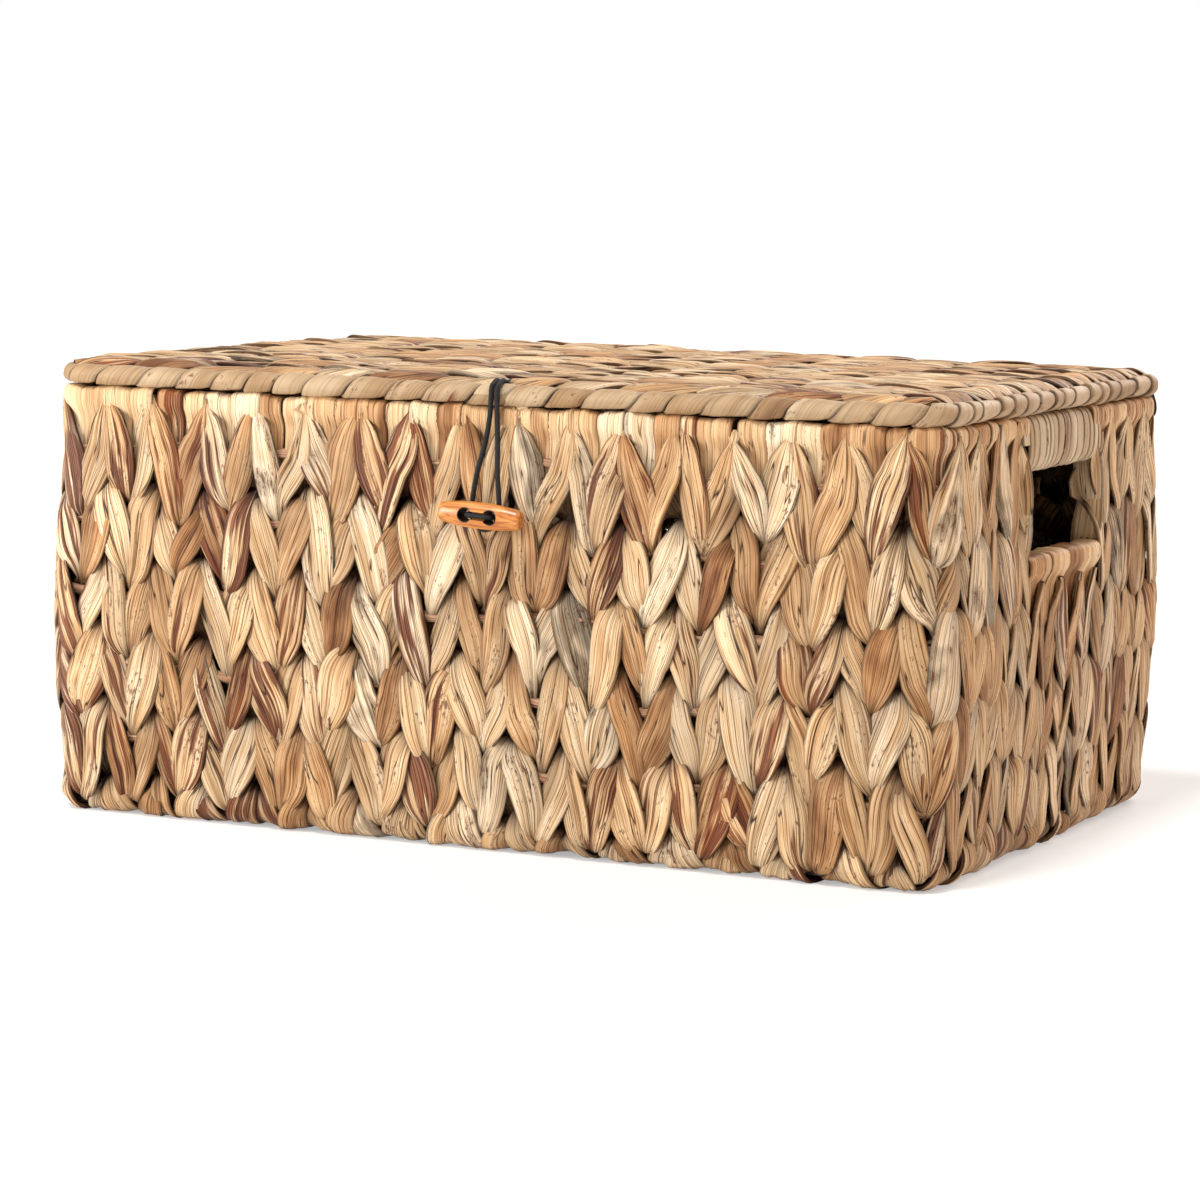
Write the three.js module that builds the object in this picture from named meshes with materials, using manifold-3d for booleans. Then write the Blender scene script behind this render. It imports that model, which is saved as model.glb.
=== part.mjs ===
// A lidded storage box, twined from flattened water-hyacinth leaf over a wire and stake frame.
// Millimetres, +Z up, origin on the ground under the middle of the box, +X along the front.
import * as THREE from "three";
import { mergeVertices } from "three/addons/utils/BufferGeometryUtils.js";
import Module from "manifold-3d";

const wasm = await Module();
wasm.setup();

// Body
const bodyWidth = 380;
const bodyDepth = 264;
const bodyHeight = 171;
const cornerRadius = 15;
const wallThickness = 12;
const wallBow = 5;
const wallEdge = 2.5;
const wallRelief = 3;
const wallCrest = 12;
const baseThickness = 11;

// Frame wires and twining stakes
const wireDiameter = 3.2;
const stakeDiameter = 4;
const stakePlane = 5.5;
const firstStakeHeight = 31;
const lastStakeDrop = 22.4;
const wholeStakes = 3;
const brokenStakes = 2;
const weldBite = 0.6;
const baseWireHeight = 4.5;
const rimWireDrop = 5;
const crossWirePitch = 27;
const postShift = 40;

// Handle openings in the two side walls
const handleWidth = 79;
const handleHeight = 32;
const handleTopDrop = 21;
const handleCorner = 5;
const handleSkin = 3;
const handleWrapMargin = 8;

// Lid
const lidOverhang = 2;
const lidCorner = 20;
const borderDiameter = 9;
const lidGap = 0.4;
const lidWeaveDrop = 3.9;
const lidWeaveThickness = 12.5;
const lidWeaveEdge = 2;
const lidRelief = 3;
const lidCrest = 12;

// Toggle closure
const closureOffset = 9.3;
const toggleDrop = 40.2;
const toggleLength = 34;
const toggleDiameter = 10.2;
const toggleEndDiameter = 7;
const toggleThicknessShare = 0.8;
const toggleTilt = 3.2;
const toggleStandOff = 5.2;
const toggleHoleSpacing = 10.5;
const toggleHoleDiameter = 5.4;
const toggleGrooveWidth = 3.2;
const toggleGrooveDepth = 2.3;
const cordDiameter = 2;
const cordSpread = 12;
const cordSpreadStartShare = 0.55;
const toggleKnot = 6;
const loopKnot = 5.4;
const loopHoleSetback = 3;

// Cord hinge ties
const tieCord = 2.4;
const tieTurns = 2;
const tieInset = 70;
const tieDrop = 14;
const tieCorner = 3;
const tieAngle = 50;
const tieSlack = 0.8;

// Fits
const fitGap = 0.3;
const cutOverrun = 2;

// Facets
const arcSteps = 4;
const heightSteps = 6;
const wireSides = 6;
const cordSides = 8;
const borderSides = 10;
const holeSides = 10;
const toggleSides = 16;
const loopSteps = 40;
const toggleCordSteps = 28;

const bowAt = (z) =>
  z > 0 && z < bodyHeight ? wallBow * Math.sin((Math.PI * z) / bodyHeight) : 0;

const straw = new THREE.MeshStandardMaterial({ color: 0xdcb680, roughness: 0.75, metalness: 0 });
const paleStraw = new THREE.MeshStandardMaterial({ color: 0xe6c896, roughness: 0.7, metalness: 0 });
const stakeRush = new THREE.MeshStandardMaterial({ color: 0xc39a78, roughness: 0.8, metalness: 0 });
const paintedWire = new THREE.MeshStandardMaterial({ color: 0x2b2623, roughness: 0.5, metalness: 0.6 });
const toggleWood = new THREE.MeshStandardMaterial({ color: 0xc8792f, roughness: 0.4, metalness: 0 });
const blackCord = new THREE.MeshStandardMaterial({ color: 0x15120f, roughness: 0.85, metalness: 0 });

// Solids and meshes

function solid(geometry) {
  const bare = geometry.clone();
  bare.deleteAttribute("normal");
  bare.deleteAttribute("uv");
  const merged = mergeVertices(bare);
  return new wasm.Manifold(
    new wasm.Mesh({
      numProp: 3,
      vertProperties: merged.attributes.position.array,
      triVerts: new Uint32Array(merged.index.array),
    }),
  );
}

function geometryOf(body) {
  const mesh = body.getMesh();
  const geometry = new THREE.BufferGeometry();
  geometry.setAttribute("position", new THREE.BufferAttribute(mesh.vertProperties, 3));
  geometry.setIndex(new THREE.BufferAttribute(mesh.triVerts, 1));
  geometry.computeVertexNormals();
  return geometry;
}

function piece(name, body, material) {
  const mesh = new THREE.Mesh(geometryOf(body), material);
  mesh.name = name;
  return mesh;
}

function cut(body, ...tools) {
  return tools.reduce((left, tool) => left.subtract(tool), body);
}

function join(...bodies) {
  return bodies.reduce((whole, body) => whole.add(body));
}

function block(low, high) {
  const size = high.map((value, axis) => value - low[axis]);
  const geometry = new THREE.BoxGeometry(...size);
  geometry.translate(...low.map((value, axis) => value + size[axis] / 2));
  return solid(geometry);
}

function moved(geometry, matrix) {
  return geometry.clone().applyMatrix4(matrix);
}

// A closed ring: a section of [outward, z] points carried round a rectangle with round corners.
function ring(section, halfWidth, halfDepth, radius) {
  const positions = [];
  const corners = [
    [1, 1],
    [-1, 1],
    [-1, -1],
    [1, -1],
  ];
  corners.forEach(([sideX, sideY], quarter) => {
    for (let step = 0; step <= arcSteps; step++) {
      const angle = (quarter + step / arcSteps) * (Math.PI / 2);
      for (const [outward, z] of section) {
        positions.push(
          sideX * (halfWidth - radius) + (radius + outward) * Math.cos(angle),
          sideY * (halfDepth - radius) + (radius + outward) * Math.sin(angle),
          z,
        );
      }
    }
  });
  const count = section.length;
  const rings = corners.length * (arcSteps + 1);
  const faces = [];
  for (let i = 0; i < rings; i++) {
    for (let j = 0; j < count; j++) {
      const a = i * count + j;
      const b = ((i + 1) % rings) * count + j;
      const c = ((i + 1) % rings) * count + ((j + 1) % count);
      const d = i * count + ((j + 1) % count);
      faces.push(a, b, c, a, c, d);
    }
  }
  const geometry = new THREE.BufferGeometry();
  geometry.setAttribute("position", new THREE.Float32BufferAttribute(positions, 3));
  geometry.setIndex(faces);
  return geometry;
}

function roundSection(diameter, outward, z, sides = wireSides) {
  return Array.from({ length: sides }, (_, k) => {
    const angle = (k / sides) * Math.PI * 2;
    return [outward + (diameter / 2) * Math.cos(angle), z + (diameter / 2) * Math.sin(angle)];
  });
}

function circle(diameter, sides) {
  const points = roundSection(diameter, 0, 0, sides).map(([x, y]) => new THREE.Vector2(x, y));
  return new THREE.Shape(points);
}

// A rod or cord with round section along a curve, closed at both ends.
function tube(curve, diameter, steps, sides = wireSides) {
  return solid(new THREE.ExtrudeGeometry(circle(diameter, sides), { extrudePath: curve, steps }));
}

function rod(from, to, diameter, sides = wireSides) {
  const line = new THREE.LineCurve3(new THREE.Vector3(...from), new THREE.Vector3(...to));
  return tube(line, diameter, 1, sides);
}

// Frame wires and stakes. Each takes a clearance, so that the same call gives its channel.

const halfWidth = bodyWidth / 2;
const halfDepth = bodyDepth / 2;
const postPlane = stakePlane + (stakeDiameter + wireDiameter) / 2 + fitGap;
const wirePlane = postPlane - wireDiameter - fitGap;

function bodyRing(diameter, plane, z) {
  return solid(ring(roundSection(diameter, bowAt(z) - plane, z), halfWidth, halfDepth, cornerRadius));
}

function crossWires(halfSpan, reach, z, diameter) {
  const wires = [];
  const last = Math.floor((halfSpan - cornerRadius) / crossWirePitch);
  for (let k = -last; k <= last; k++) {
    const x = k * crossWirePitch;
    wires.push(rod([x, -reach, z], [x, reach, z], diameter));
  }
  return join(...wires);
}

function baseFrame(clearance) {
  const diameter = wireDiameter + 2 * clearance;
  const reach = halfDepth - wirePlane + clearance;
  const z = baseWireHeight + wireDiameter - weldBite;
  return join(bodyRing(diameter, wirePlane, baseWireHeight), crossWires(halfWidth, reach, z, diameter));
}

const rimWireHeight = bodyHeight - rimWireDrop;
const rimWire = (clearance) => bodyRing(wireDiameter + 2 * clearance, wirePlane, rimWireHeight);

function cornerPost(sideX, sideY, clearance) {
  const turn = THREE.MathUtils.degToRad(postShift);
  const towards = [Math.cos(Math.PI / 4 - turn), Math.sin(Math.PI / 4 - turn)];
  const bottom = baseWireHeight - wireDiameter / 2 - clearance;
  const top = rimWireHeight + wireDiameter / 2 + clearance;
  const points = [];
  for (let k = 0; k <= heightSteps; k++) {
    const z = bottom + ((top - bottom) * k) / heightSteps;
    const reach = cornerRadius - postPlane + bowAt(z);
    points.push(
      new THREE.Vector3(
        sideX * (halfWidth - cornerRadius + reach * towards[0]),
        sideY * (halfDepth - cornerRadius + reach * towards[1]),
        z,
      ),
    );
  }
  return tube(new THREE.CatmullRomCurve3(points), wireDiameter + 2 * clearance, heightSteps);
}

const stakePitch =
  (bodyHeight - lastStakeDrop - firstStakeHeight) / (wholeStakes + brokenStakes - 1);
const stakeHeight = (k) => firstStakeHeight + k * stakePitch;
const stakeRing = (k, clearance) => bodyRing(stakeDiameter + 2 * clearance, stakePlane, stakeHeight(k));

const handleTop = bodyHeight - handleTopDrop;
const handleBottom = handleTop - handleHeight;
const handleWireHalf = handleWidth / 2 + handleSkin;

// The wire that stiffens a handle opening, stood up in the bowed side wall.
function handleWire(side, clearance) {
  const section = roundSection(wireDiameter + 2 * clearance, 0, 0);
  const halfRise = handleHeight / 2 + handleSkin;
  const flat = ring(section, handleWireHalf, halfRise, handleCorner);
  const middle = (handleTop + handleBottom) / 2;
  const upright = new THREE.Matrix4().set(0, 0, 1, 0, 1, 0, 0, 0, 0, 1, 0, middle, 0, 0, 0, 1);
  const stood = moved(flat, upright);
  const place = stood.attributes.position;
  for (let i = 0; i < place.count; i++) {
    const outward = halfWidth - wirePlane + bowAt(place.getZ(i)) + place.getX(i);
    place.setX(i, outward);
  }
  if (side < 0) {
    stood.rotateZ(Math.PI);
  }
  return solid(stood);
}

// The stakes at the height of the handles stop short of the handle wires.
function brokenStake(k, sideY, clearance) {
  const stop = handleWireHalf + wireDiameter / 2 + fitGap - clearance;
  const low = [-bodyWidth, sideY > 0 ? stop : -bodyDepth, 0];
  const high = [bodyWidth, sideY > 0 ? bodyDepth : -stop, bodyHeight];
  return stakeRing(k, clearance).intersect(block(low, high));
}

const counted = (count, first = 0) => Array.from({ length: count }, (_, k) => first + k);
const wholeOnes = counted(wholeStakes);
const brokenOnes = counted(brokenStakes, wholeStakes);
const sides = [-1, 1];
const quarters = [
  ["front_left", -1, -1],
  ["front_right", 1, -1],
  ["back_left", -1, 1],
  ["back_right", 1, 1],
];
const sideName = (side) => (side > 0 ? "right" : "left");
const endName = (side) => (side > 0 ? "back" : "front");

function bodyChannels() {
  return [
    baseFrame(fitGap),
    rimWire(fitGap),
    ...quarters.map(([, sideX, sideY]) => cornerPost(sideX, sideY, fitGap)),
    ...wholeOnes.map((k) => stakeRing(k, fitGap)),
    ...brokenOnes.flatMap((k) => sides.map((side) => brokenStake(k, side, fitGap))),
    ...sides.map((side) => handleWire(side, fitGap)),
  ];
}

// Walls

// The outer face stands out where the leaves lie over each stake, and falls in halfway to the next.
function outerFace() {
  const halfCrest = wallCrest / 2;
  const rows = [...wholeOnes, ...brokenOnes];
  const waves = rows.flatMap((k) => {
    const valley = stakeHeight(k) - stakePitch / 2;
    const below = stakeHeight(k) - stakePitch + halfCrest;
    const above = stakeHeight(k) - halfCrest;
    return [
      [bowAt(below), below],
      [bowAt(valley) - wallRelief, valley],
      [bowAt(above), above],
    ];
  });
  const edges = [wallEdge, bodyHeight - wallEdge].map((z) => [bowAt(z), z]);
  const lastCrest = stakeHeight(rows.length - 1) + halfCrest;
  return [edges[0], ...waves, [bowAt(lastCrest), lastCrest], edges[1]];
}

function wallShell() {
  const rise = Array.from({ length: heightSteps + 1 }, (_, k) => {
    return wallEdge + ((bodyHeight - 2 * wallEdge) * k) / heightSteps;
  });
  const outer = outerFace();
  const inner = rise.map((z) => [bowAt(z) - wallThickness, z]).reverse();
  const section = [
    [-wallThickness + wallEdge, 0],
    [-wallEdge, 0],
    ...outer,
    [-wallEdge, bodyHeight],
    [-wallThickness + wallEdge, bodyHeight],
    ...inner,
  ];
  return solid(ring(section, halfWidth, halfDepth, cornerRadius));
}

// Hinge ties: each one stands in a plane through its place, square to the wall.

const lidWidth = bodyWidth + 2 * lidOverhang;
const lidDepth = bodyDepth + 2 * lidOverhang;
const lidBottom = bodyHeight + lidGap;
const borderHeight = lidBottom + borderDiameter / 2;
const tieWidth = tieCord * tieTurns;
const tieTop = lidBottom + borderDiameter + fitGap + tieCord / 2;
const tieBottom = bodyHeight - tieDrop;

// How far a tie must reach from the centre of the body's corner bend to pass outside wall and border.
function tieReach(degrees) {
  const angle = THREE.MathUtils.degToRad(degrees);
  const shiftX = lidWidth / 2 - lidCorner - halfWidth + cornerRadius;
  const shiftY = lidDepth / 2 - lidCorner - halfDepth + cornerRadius;
  const along = shiftX * Math.cos(angle) + shiftY * Math.sin(angle);
  const across = shiftX * Math.sin(angle) - shiftY * Math.cos(angle);
  const border = degrees === 90 ? shiftY + lidCorner : along + Math.sqrt(lidCorner ** 2 - across ** 2);
  return Math.max(border, cornerRadius + bowAt(tieBottom) + tieSlack);
}

const tieOffset = halfWidth - tieInset;
const tieY = halfDepth - cornerRadius;
const tieCornerX = halfWidth - cornerRadius;
const tiePlaces = [
  { name: "back_left_tie", x: -tieOffset, turn: 90, reach: tieReach(90) },
  { name: "back_right_tie", x: tieOffset, turn: 90, reach: tieReach(90) },
  { name: "corner_left_tie", x: -tieCornerX, turn: 180 - tieAngle, reach: tieReach(tieAngle) },
  { name: "corner_right_tie", x: tieCornerX, turn: tieAngle, reach: tieReach(tieAngle) },
];

function tieFrame(place) {
  const angle = THREE.MathUtils.degToRad(place.turn);
  const out = new THREE.Vector3(Math.cos(angle), Math.sin(angle), 0);
  const along = new THREE.Vector3(Math.sin(angle), -Math.cos(angle), 0);
  const up = new THREE.Vector3(0, 0, 1);
  return new THREE.Matrix4().makeBasis(out, up, along).setPosition(place.x, tieY, 0);
}

const tieOuter = (place) => place.reach + fitGap + tieCord / 2;

// Inside, a tie's flat band clears the wall, and at a corner the bend of the wall as well.
function tieInner(place) {
  const room = cornerRadius - wallThickness - fitGap;
  const flat = place.turn === 90 ? room : Math.sqrt(room ** 2 - (tieWidth / 2) ** 2);
  return flat - tieCord / 2;
}

function tie(place) {
  const half = tieWidth / 2;
  const section = [
    [-tieCord / 2, -half],
    [tieCord / 2, -half],
    [tieCord / 2, half],
    [-tieCord / 2, half],
  ];
  const halfReach = (tieOuter(place) - tieInner(place)) / 2;
  const loop = ring(section, halfReach, (tieTop - tieBottom) / 2, tieCorner);
  loop.translate((tieOuter(place) + tieInner(place)) / 2, (tieTop + tieBottom) / 2, 0);
  return solid(moved(loop, tieFrame(place)));
}

// The hole that a tie's lower run needs in a wall, or its inner run in the lid.
function tieHole(place, from, to, low, high) {
  const half = tieWidth / 2 + fitGap;
  const geometry = new THREE.BoxGeometry(to - from, high - low, 2 * half);
  geometry.translate((to + from) / 2, (high + low) / 2, 0);
  return solid(moved(geometry, tieFrame(place)));
}

function wallTieHoles() {
  const half = tieCord / 2 + fitGap;
  return tiePlaces.map((place) => {
    return tieHole(place, tieInner(place), tieOuter(place), tieBottom - half, tieBottom + half);
  });
}

// Toggle place: it stands off the front wall by the cord loop that passes behind it.

const toggleHeight = bodyHeight - toggleDrop;
const toggleThickness = toggleDiameter * toggleThicknessShare;
const frontFace = (z) => -halfDepth - bowAt(z);
const toggleBack = frontFace(toggleHeight) - toggleStandOff;
const toggleMiddle = toggleBack - toggleThickness / 2;
const shankDiameter = 2 * cordDiameter + 2 * fitGap;
const knotSeat = toggleKnot + 2 * fitGap;

function holeAlongY(diameter, from, to, x, z) {
  return rod([x, from, z], [x, to, z], diameter, holeSides);
}

function toggleWallHole() {
  const outside = frontFace(toggleHeight) - cutOverrun;
  const inside = -halfDepth + wallThickness - bowAt(toggleHeight);
  const seat = inside - knotSeat;
  return join(
    holeAlongY(shankDiameter + 2 * fitGap, outside, seat + fitGap, closureOffset, toggleHeight),
    holeAlongY(knotSeat, seat, inside + cutOverrun, closureOffset, toggleHeight),
  );
}

function wallPieces() {
  const shell = cut(wallShell(), ...bodyChannels(), ...wallTieHoles(), toggleWallHole());
  const spanX = halfWidth - cornerRadius - fitGap / 2;
  const spanY = halfDepth - cornerRadius - fitGap / 2;
  const farX = bodyWidth;
  const farY = bodyDepth;
  const top = bodyHeight + cutOverrun;
  const group = [];
  for (const side of sides) {
    const near = side > 0 ? 0 : -farY;
    const zone = block([-spanX, near, -cutOverrun], [spanX, near + farY, top]);
    group.push(piece(`${endName(side)}_weave`, shell.intersect(zone), straw));
  }
  const wrapHalf = handleWidth / 2 + handleWrapMargin;
  for (const side of sides) {
    const near = side > 0 ? 0 : -farX;
    const zone = block([near, -spanY, -cutOverrun], [near + farX, spanY, top]);
    const opening = block(
      [near, -handleWidth / 2, handleBottom],
      [near + farX, handleWidth / 2, handleTop],
    );
    const bar = block([near, -wrapHalf, handleTop], [near + farX, wrapHalf, top]);
    const seat = block(
      [near, -wrapHalf - fitGap, handleTop - fitGap],
      [near + farX, wrapHalf + fitGap, top],
    );
    group.push(piece(`${sideName(side)}_weave`, cut(shell.intersect(zone), opening, seat), straw));
    group.push(piece(`${sideName(side)}_handle_wrap`, shell.intersect(bar), paleStraw));
  }
  for (const [name, sideX, sideY] of quarters) {
    const [lowX, highX] = sideX > 0 ? [spanX + fitGap, farX] : [-farX, -spanX - fitGap];
    const [lowY, highY] = sideY > 0 ? [spanY + fitGap, farY] : [-farY, -spanY - fitGap];
    const zone = block([lowX, lowY, -cutOverrun], [highX, highY, top]);
    group.push(piece(`${name}_corner_weave`, shell.intersect(zone), straw));
  }
  return group;
}

// A flat woven panel: a rounded rectangle with softened edges.
function panel(halfX, halfY, radius, bottom, thickness, edge) {
  const outline = new THREE.Shape();
  const x = halfX - edge;
  const y = halfY - edge;
  const r = Math.max(radius - edge, edge);
  outline.absarc(x - r, y - r, r, 0, Math.PI / 2);
  outline.absarc(-x + r, y - r, r, Math.PI / 2, Math.PI);
  outline.absarc(-x + r, -y + r, r, Math.PI, Math.PI * 1.5);
  outline.absarc(x - r, -y + r, r, Math.PI * 1.5, Math.PI * 2);
  outline.closePath();
  const geometry = new THREE.ExtrudeGeometry(outline, {
    depth: thickness - 2 * edge,
    bevelThickness: edge,
    bevelSize: edge,
    bevelSegments: 1,
    curveSegments: arcSteps,
  });
  geometry.translate(0, 0, bottom + edge);
  return solid(geometry);
}

function baseWeave() {
  const inset = wallThickness + fitGap;
  const radius = cornerRadius - inset;
  const slab = panel(halfWidth - inset, halfDepth - inset, radius, 0, baseThickness, wallEdge);
  return cut(slab, baseFrame(fitGap));
}

// Lid

const borderPathX = lidWidth / 2 - borderDiameter / 2;
const borderPathY = lidDepth / 2 - borderDiameter / 2;
const borderPathRadius = lidCorner - borderDiameter / 2;

function lidRing(diameter, sides = wireSides) {
  const section = roundSection(diameter, 0, borderHeight, sides);
  return solid(ring(section, borderPathX, borderPathY, borderPathRadius));
}

function lidFrame(clearance) {
  const diameter = wireDiameter + 2 * clearance;
  const z = borderHeight + wireDiameter / 2 - weldBite;
  return join(lidRing(diameter), crossWires(borderPathX, borderPathY + clearance, z, diameter));
}

function lidTieNotches() {
  const half = tieCord / 2 + fitGap;
  const top = lidBottom + lidWeaveThickness + lidWeaveDrop;
  return tiePlaces.map((place) => tieHole(place, tieInner(place) - half, tieOuter(place), bodyHeight, top));
}

const loopTop = borderDiameter / 2 + fitGap + cordDiameter / 2;
const loopHoleY = -borderPathY + borderDiameter / 2 + loopHoleSetback;
const lidWeaveBottom = borderHeight - lidWeaveDrop;
const loopKnotHeight = lidWeaveBottom + loopKnot / 2;

function loopHole() {
  const top = lidWeaveBottom + lidWeaveThickness + cutOverrun;
  const from = [closureOffset, loopHoleY, lidWeaveBottom - cutOverrun];
  const seatTop = loopKnotHeight + loopKnot / 2 + fitGap;
  const legs = block(
    [closureOffset - shankDiameter / 2 - fitGap, -lidDepth / 2, seatTop - fitGap],
    [closureOffset + shankDiameter / 2 + fitGap, loopHoleY + shankDiameter / 2, top],
  );
  return join(legs, rod(from, [closureOffset, loopHoleY, seatTop], loopKnot + 2 * fitGap, holeSides));
}

// Hollows across both faces of the lid, halfway between its cross wires, where the leaves dive.
function lidHollows() {
  const half = (crossWirePitch - lidCrest) / 2;
  const hollow = new THREE.Shape();
  hollow.moveTo(-half, 0);
  hollow.lineTo(0, -lidRelief);
  hollow.lineTo(half, 0);
  hollow.lineTo(half, cutOverrun);
  hollow.lineTo(-half, cutOverrun);
  hollow.closePath();
  const over = new THREE.ExtrudeGeometry(hollow, { depth: lidDepth, bevelEnabled: false });
  over.translate(0, 0, -lidDepth / 2);
  over.rotateX(Math.PI / 2);
  const under = over.clone().rotateX(Math.PI);
  const span = lidWidth - 2 * (borderDiameter + fitGap + lidWeaveEdge + half);
  const spaces = Math.floor(span / crossWirePitch / 2) * 2;
  return counted(spaces).flatMap((k) => {
    const x = (k - (spaces - 1) / 2) * crossWirePitch;
    const top = over.clone().translate(x, 0, lidWeaveBottom + lidWeaveThickness);
    const bottom = under.clone().translate(x, 0, lidWeaveBottom);
    return [solid(top), solid(bottom)];
  });
}

function lidWeave() {
  const inset = borderDiameter + fitGap;
  const slab = panel(
    lidWidth / 2 - inset,
    lidDepth / 2 - inset,
    lidCorner - inset,
    lidWeaveBottom,
    lidWeaveThickness,
    lidWeaveEdge,
  );
  return cut(slab, ...lidHollows(), lidFrame(fitGap), loopHole(), ...lidTieNotches());
}

// Loop and toggle

function ball(diameter, x, y, z) {
  const geometry = new THREE.SphereGeometry(diameter / 2, cordSides, wireSides);
  geometry.translate(x, y, z);
  return solid(geometry);
}

// Angles round the lid border and round the shank, and shares of the loop's fall and of its opening.
const loopOverBorder = [55, 90, 125, 155, 180];
const loopUnderShank = [-20, -50, -90];
const loopHangShares = [[0.25, 0.2], [0.5, 0.5], [0.75, 0.8], [0.9, 1]];

// The elastic loop: up through the lid, over its border, down the wall and round the toggle's shank.
function closureLoop() {
  const close = cordDiameter / 2 + fitGap;
  const spread = cordSpread / 2;
  const hangY = (z) => Math.min(frontFace(z) - fitGap - cordDiameter / 2, -borderPathY - loopTop);
  const half = [
    [close, loopHoleY, loopKnotHeight + loopKnot / 2 + fitGap],
    [close, loopHoleY, borderHeight + borderDiameter / 2],
  ];
  for (const degrees of loopOverBorder) {
    const angle = THREE.MathUtils.degToRad(degrees);
    half.push([
      close,
      -borderPathY + loopTop * Math.cos(angle),
      borderHeight + loopTop * Math.sin(angle),
    ]);
  }
  const drop = borderHeight - toggleHeight;
  for (const [fallShare, openShare] of loopHangShares) {
    const z = borderHeight - drop * fallShare;
    half.push([close + (spread - close) * openShare, hangY(z), z]);
  }
  for (const degrees of loopUnderShank) {
    const angle = THREE.MathUtils.degToRad(degrees);
    const z = toggleHeight + spread * Math.sin(angle);
    half.push([spread * Math.cos(angle), hangY(z), z]);
  }
  const left = half.slice(0, -1).reverse().map(([x, y, z]) => [-x, y, z]);
  const points = [...half, ...left].map(([x, y, z]) => new THREE.Vector3(closureOffset + x, y, z));
  const route = new THREE.CatmullRomCurve3(points, false, "centripetal");
  return tube(route, cordDiameter, loopSteps, cordSides);
}

// The barrel from end to end: where each station lies, and how far its radius falls from middle to end.
const toggleStationShares = [
  [-1, 1.25],
  [-0.94, 0.9],
  [-0.6, 0.35],
  [-0.25, 0.05],
  [0.25, 0.05],
  [0.6, 0.35],
  [0.94, 0.9],
  [1, 1.25],
];

function toggleGeometry() {
  const half = toggleLength / 2;
  const fall = (toggleDiameter - toggleEndDiameter) / 2;
  const profile = toggleStationShares.map(([alongShare, fallShare]) => {
    return new THREE.Vector2(toggleDiameter / 2 - fall * fallShare, alongShare * half);
  });
  profile.unshift(new THREE.Vector2(0, -half));
  profile.push(new THREE.Vector2(0, half));
  const geometry = new THREE.LatheGeometry(profile, toggleSides);
  geometry.rotateZ(-Math.PI / 2);
  geometry.scale(1, toggleThicknessShare, 1);
  return geometry;
}

function toggle() {
  const reach = toggleThickness + cutOverrun;
  const holes = sides.map((side) => {
    return holeAlongY(toggleHoleDiameter, -reach, reach, (side * toggleHoleSpacing) / 2, 0);
  });
  const front = -toggleThickness / 2;
  const groove = block(
    [-toggleHoleSpacing / 2, front - cutOverrun, -toggleGrooveWidth / 2],
    [toggleHoleSpacing / 2, front + toggleGrooveDepth, toggleGrooveWidth / 2],
  );
  return cut(solid(toggleGeometry()), ...holes, groove);
}

// The toggle's own cord, in the toggle's frame: knot, shank, one hole, the groove, the other hole.
function toggleCord() {
  const close = cordDiameter / 2 + fitGap;
  const apart = toggleHoleSpacing / 2;
  const back = toggleThickness / 2;
  const bar = -back + toggleGrooveDepth - fitGap - cordDiameter / 2;
  const inside = -halfDepth + wallThickness - bowAt(toggleHeight) - toggleMiddle;
  const knotY = inside - knotSeat / 2;
  const half = [
    [close, knotY],
    [close, back + toggleStandOff],
    [close, back + toggleStandOff * cordSpreadStartShare],
    [apart, back],
    [apart, 0],
    [apart - fitGap, bar + cordDiameter / 2],
    [apart - cordDiameter, bar],
  ];
  const points = [...half, ...half.map(([x, y]) => [-x, y]).reverse()];
  const curve = new THREE.CatmullRomCurve3(
    points.map(([x, y]) => new THREE.Vector3(x, y, 0)),
    false,
    "centripetal",
  );
  return join(tube(curve, cordDiameter, toggleCordSteps, cordSides), ball(toggleKnot, 0, knotY, 0));
}

// Assembly

const box = new THREE.Group();

const body = new THREE.Group();
body.add(piece("base_frame", baseFrame(0), paintedWire));
body.add(piece("rim_wire", rimWire(0), paintedWire));
for (const [name, sideX, sideY] of quarters) {
  body.add(piece(`${name}_post`, cornerPost(sideX, sideY, 0), paintedWire));
}
for (const k of wholeOnes) {
  body.add(piece(`stake_ring_${k + 1}`, stakeRing(k, 0), stakeRush));
}
for (const side of sides) {
  for (const k of brokenOnes) {
    body.add(piece(`${endName(side)}_stake_${k + 1}`, brokenStake(k, side, 0), stakeRush));
  }
  body.add(piece(`${sideName(side)}_handle_wire`, handleWire(side, 0), paintedWire));
}
body.add(...wallPieces());
body.add(piece("base_weave", baseWeave(), straw));
for (const place of tiePlaces) {
  body.add(piece(place.name, tie(place), blackCord));
}
box.add(body);

const lid = new THREE.Group();
lid.add(piece("lid_frame", lidFrame(0), paintedWire));
lid.add(piece("lid_border", cut(lidRing(borderDiameter, borderSides), lidFrame(fitGap)), paleStraw));
lid.add(piece("lid_weave", lidWeave(), straw));
lid.add(piece("closure_loop", closureLoop(), blackCord));
lid.add(piece("loop_knot", ball(loopKnot, closureOffset, loopHoleY, loopKnotHeight), blackCord));
box.add(lid);

const closure = new THREE.Group();
closure.position.set(closureOffset, toggleMiddle, toggleHeight);
closure.rotation.y = THREE.MathUtils.degToRad(toggleTilt);
closure.add(piece("toggle", toggle(), toggleWood));
closure.add(piece("toggle_cord", toggleCord(), blackCord));
box.add(closure);

export default box;
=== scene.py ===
"""The looks of a lidded storage box, twined from dried water-hyacinth leaf over a wire and stake frame."""

import math
from dataclasses import dataclass

import bpy
import numpy as np
from mathutils import Matrix, Vector


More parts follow.
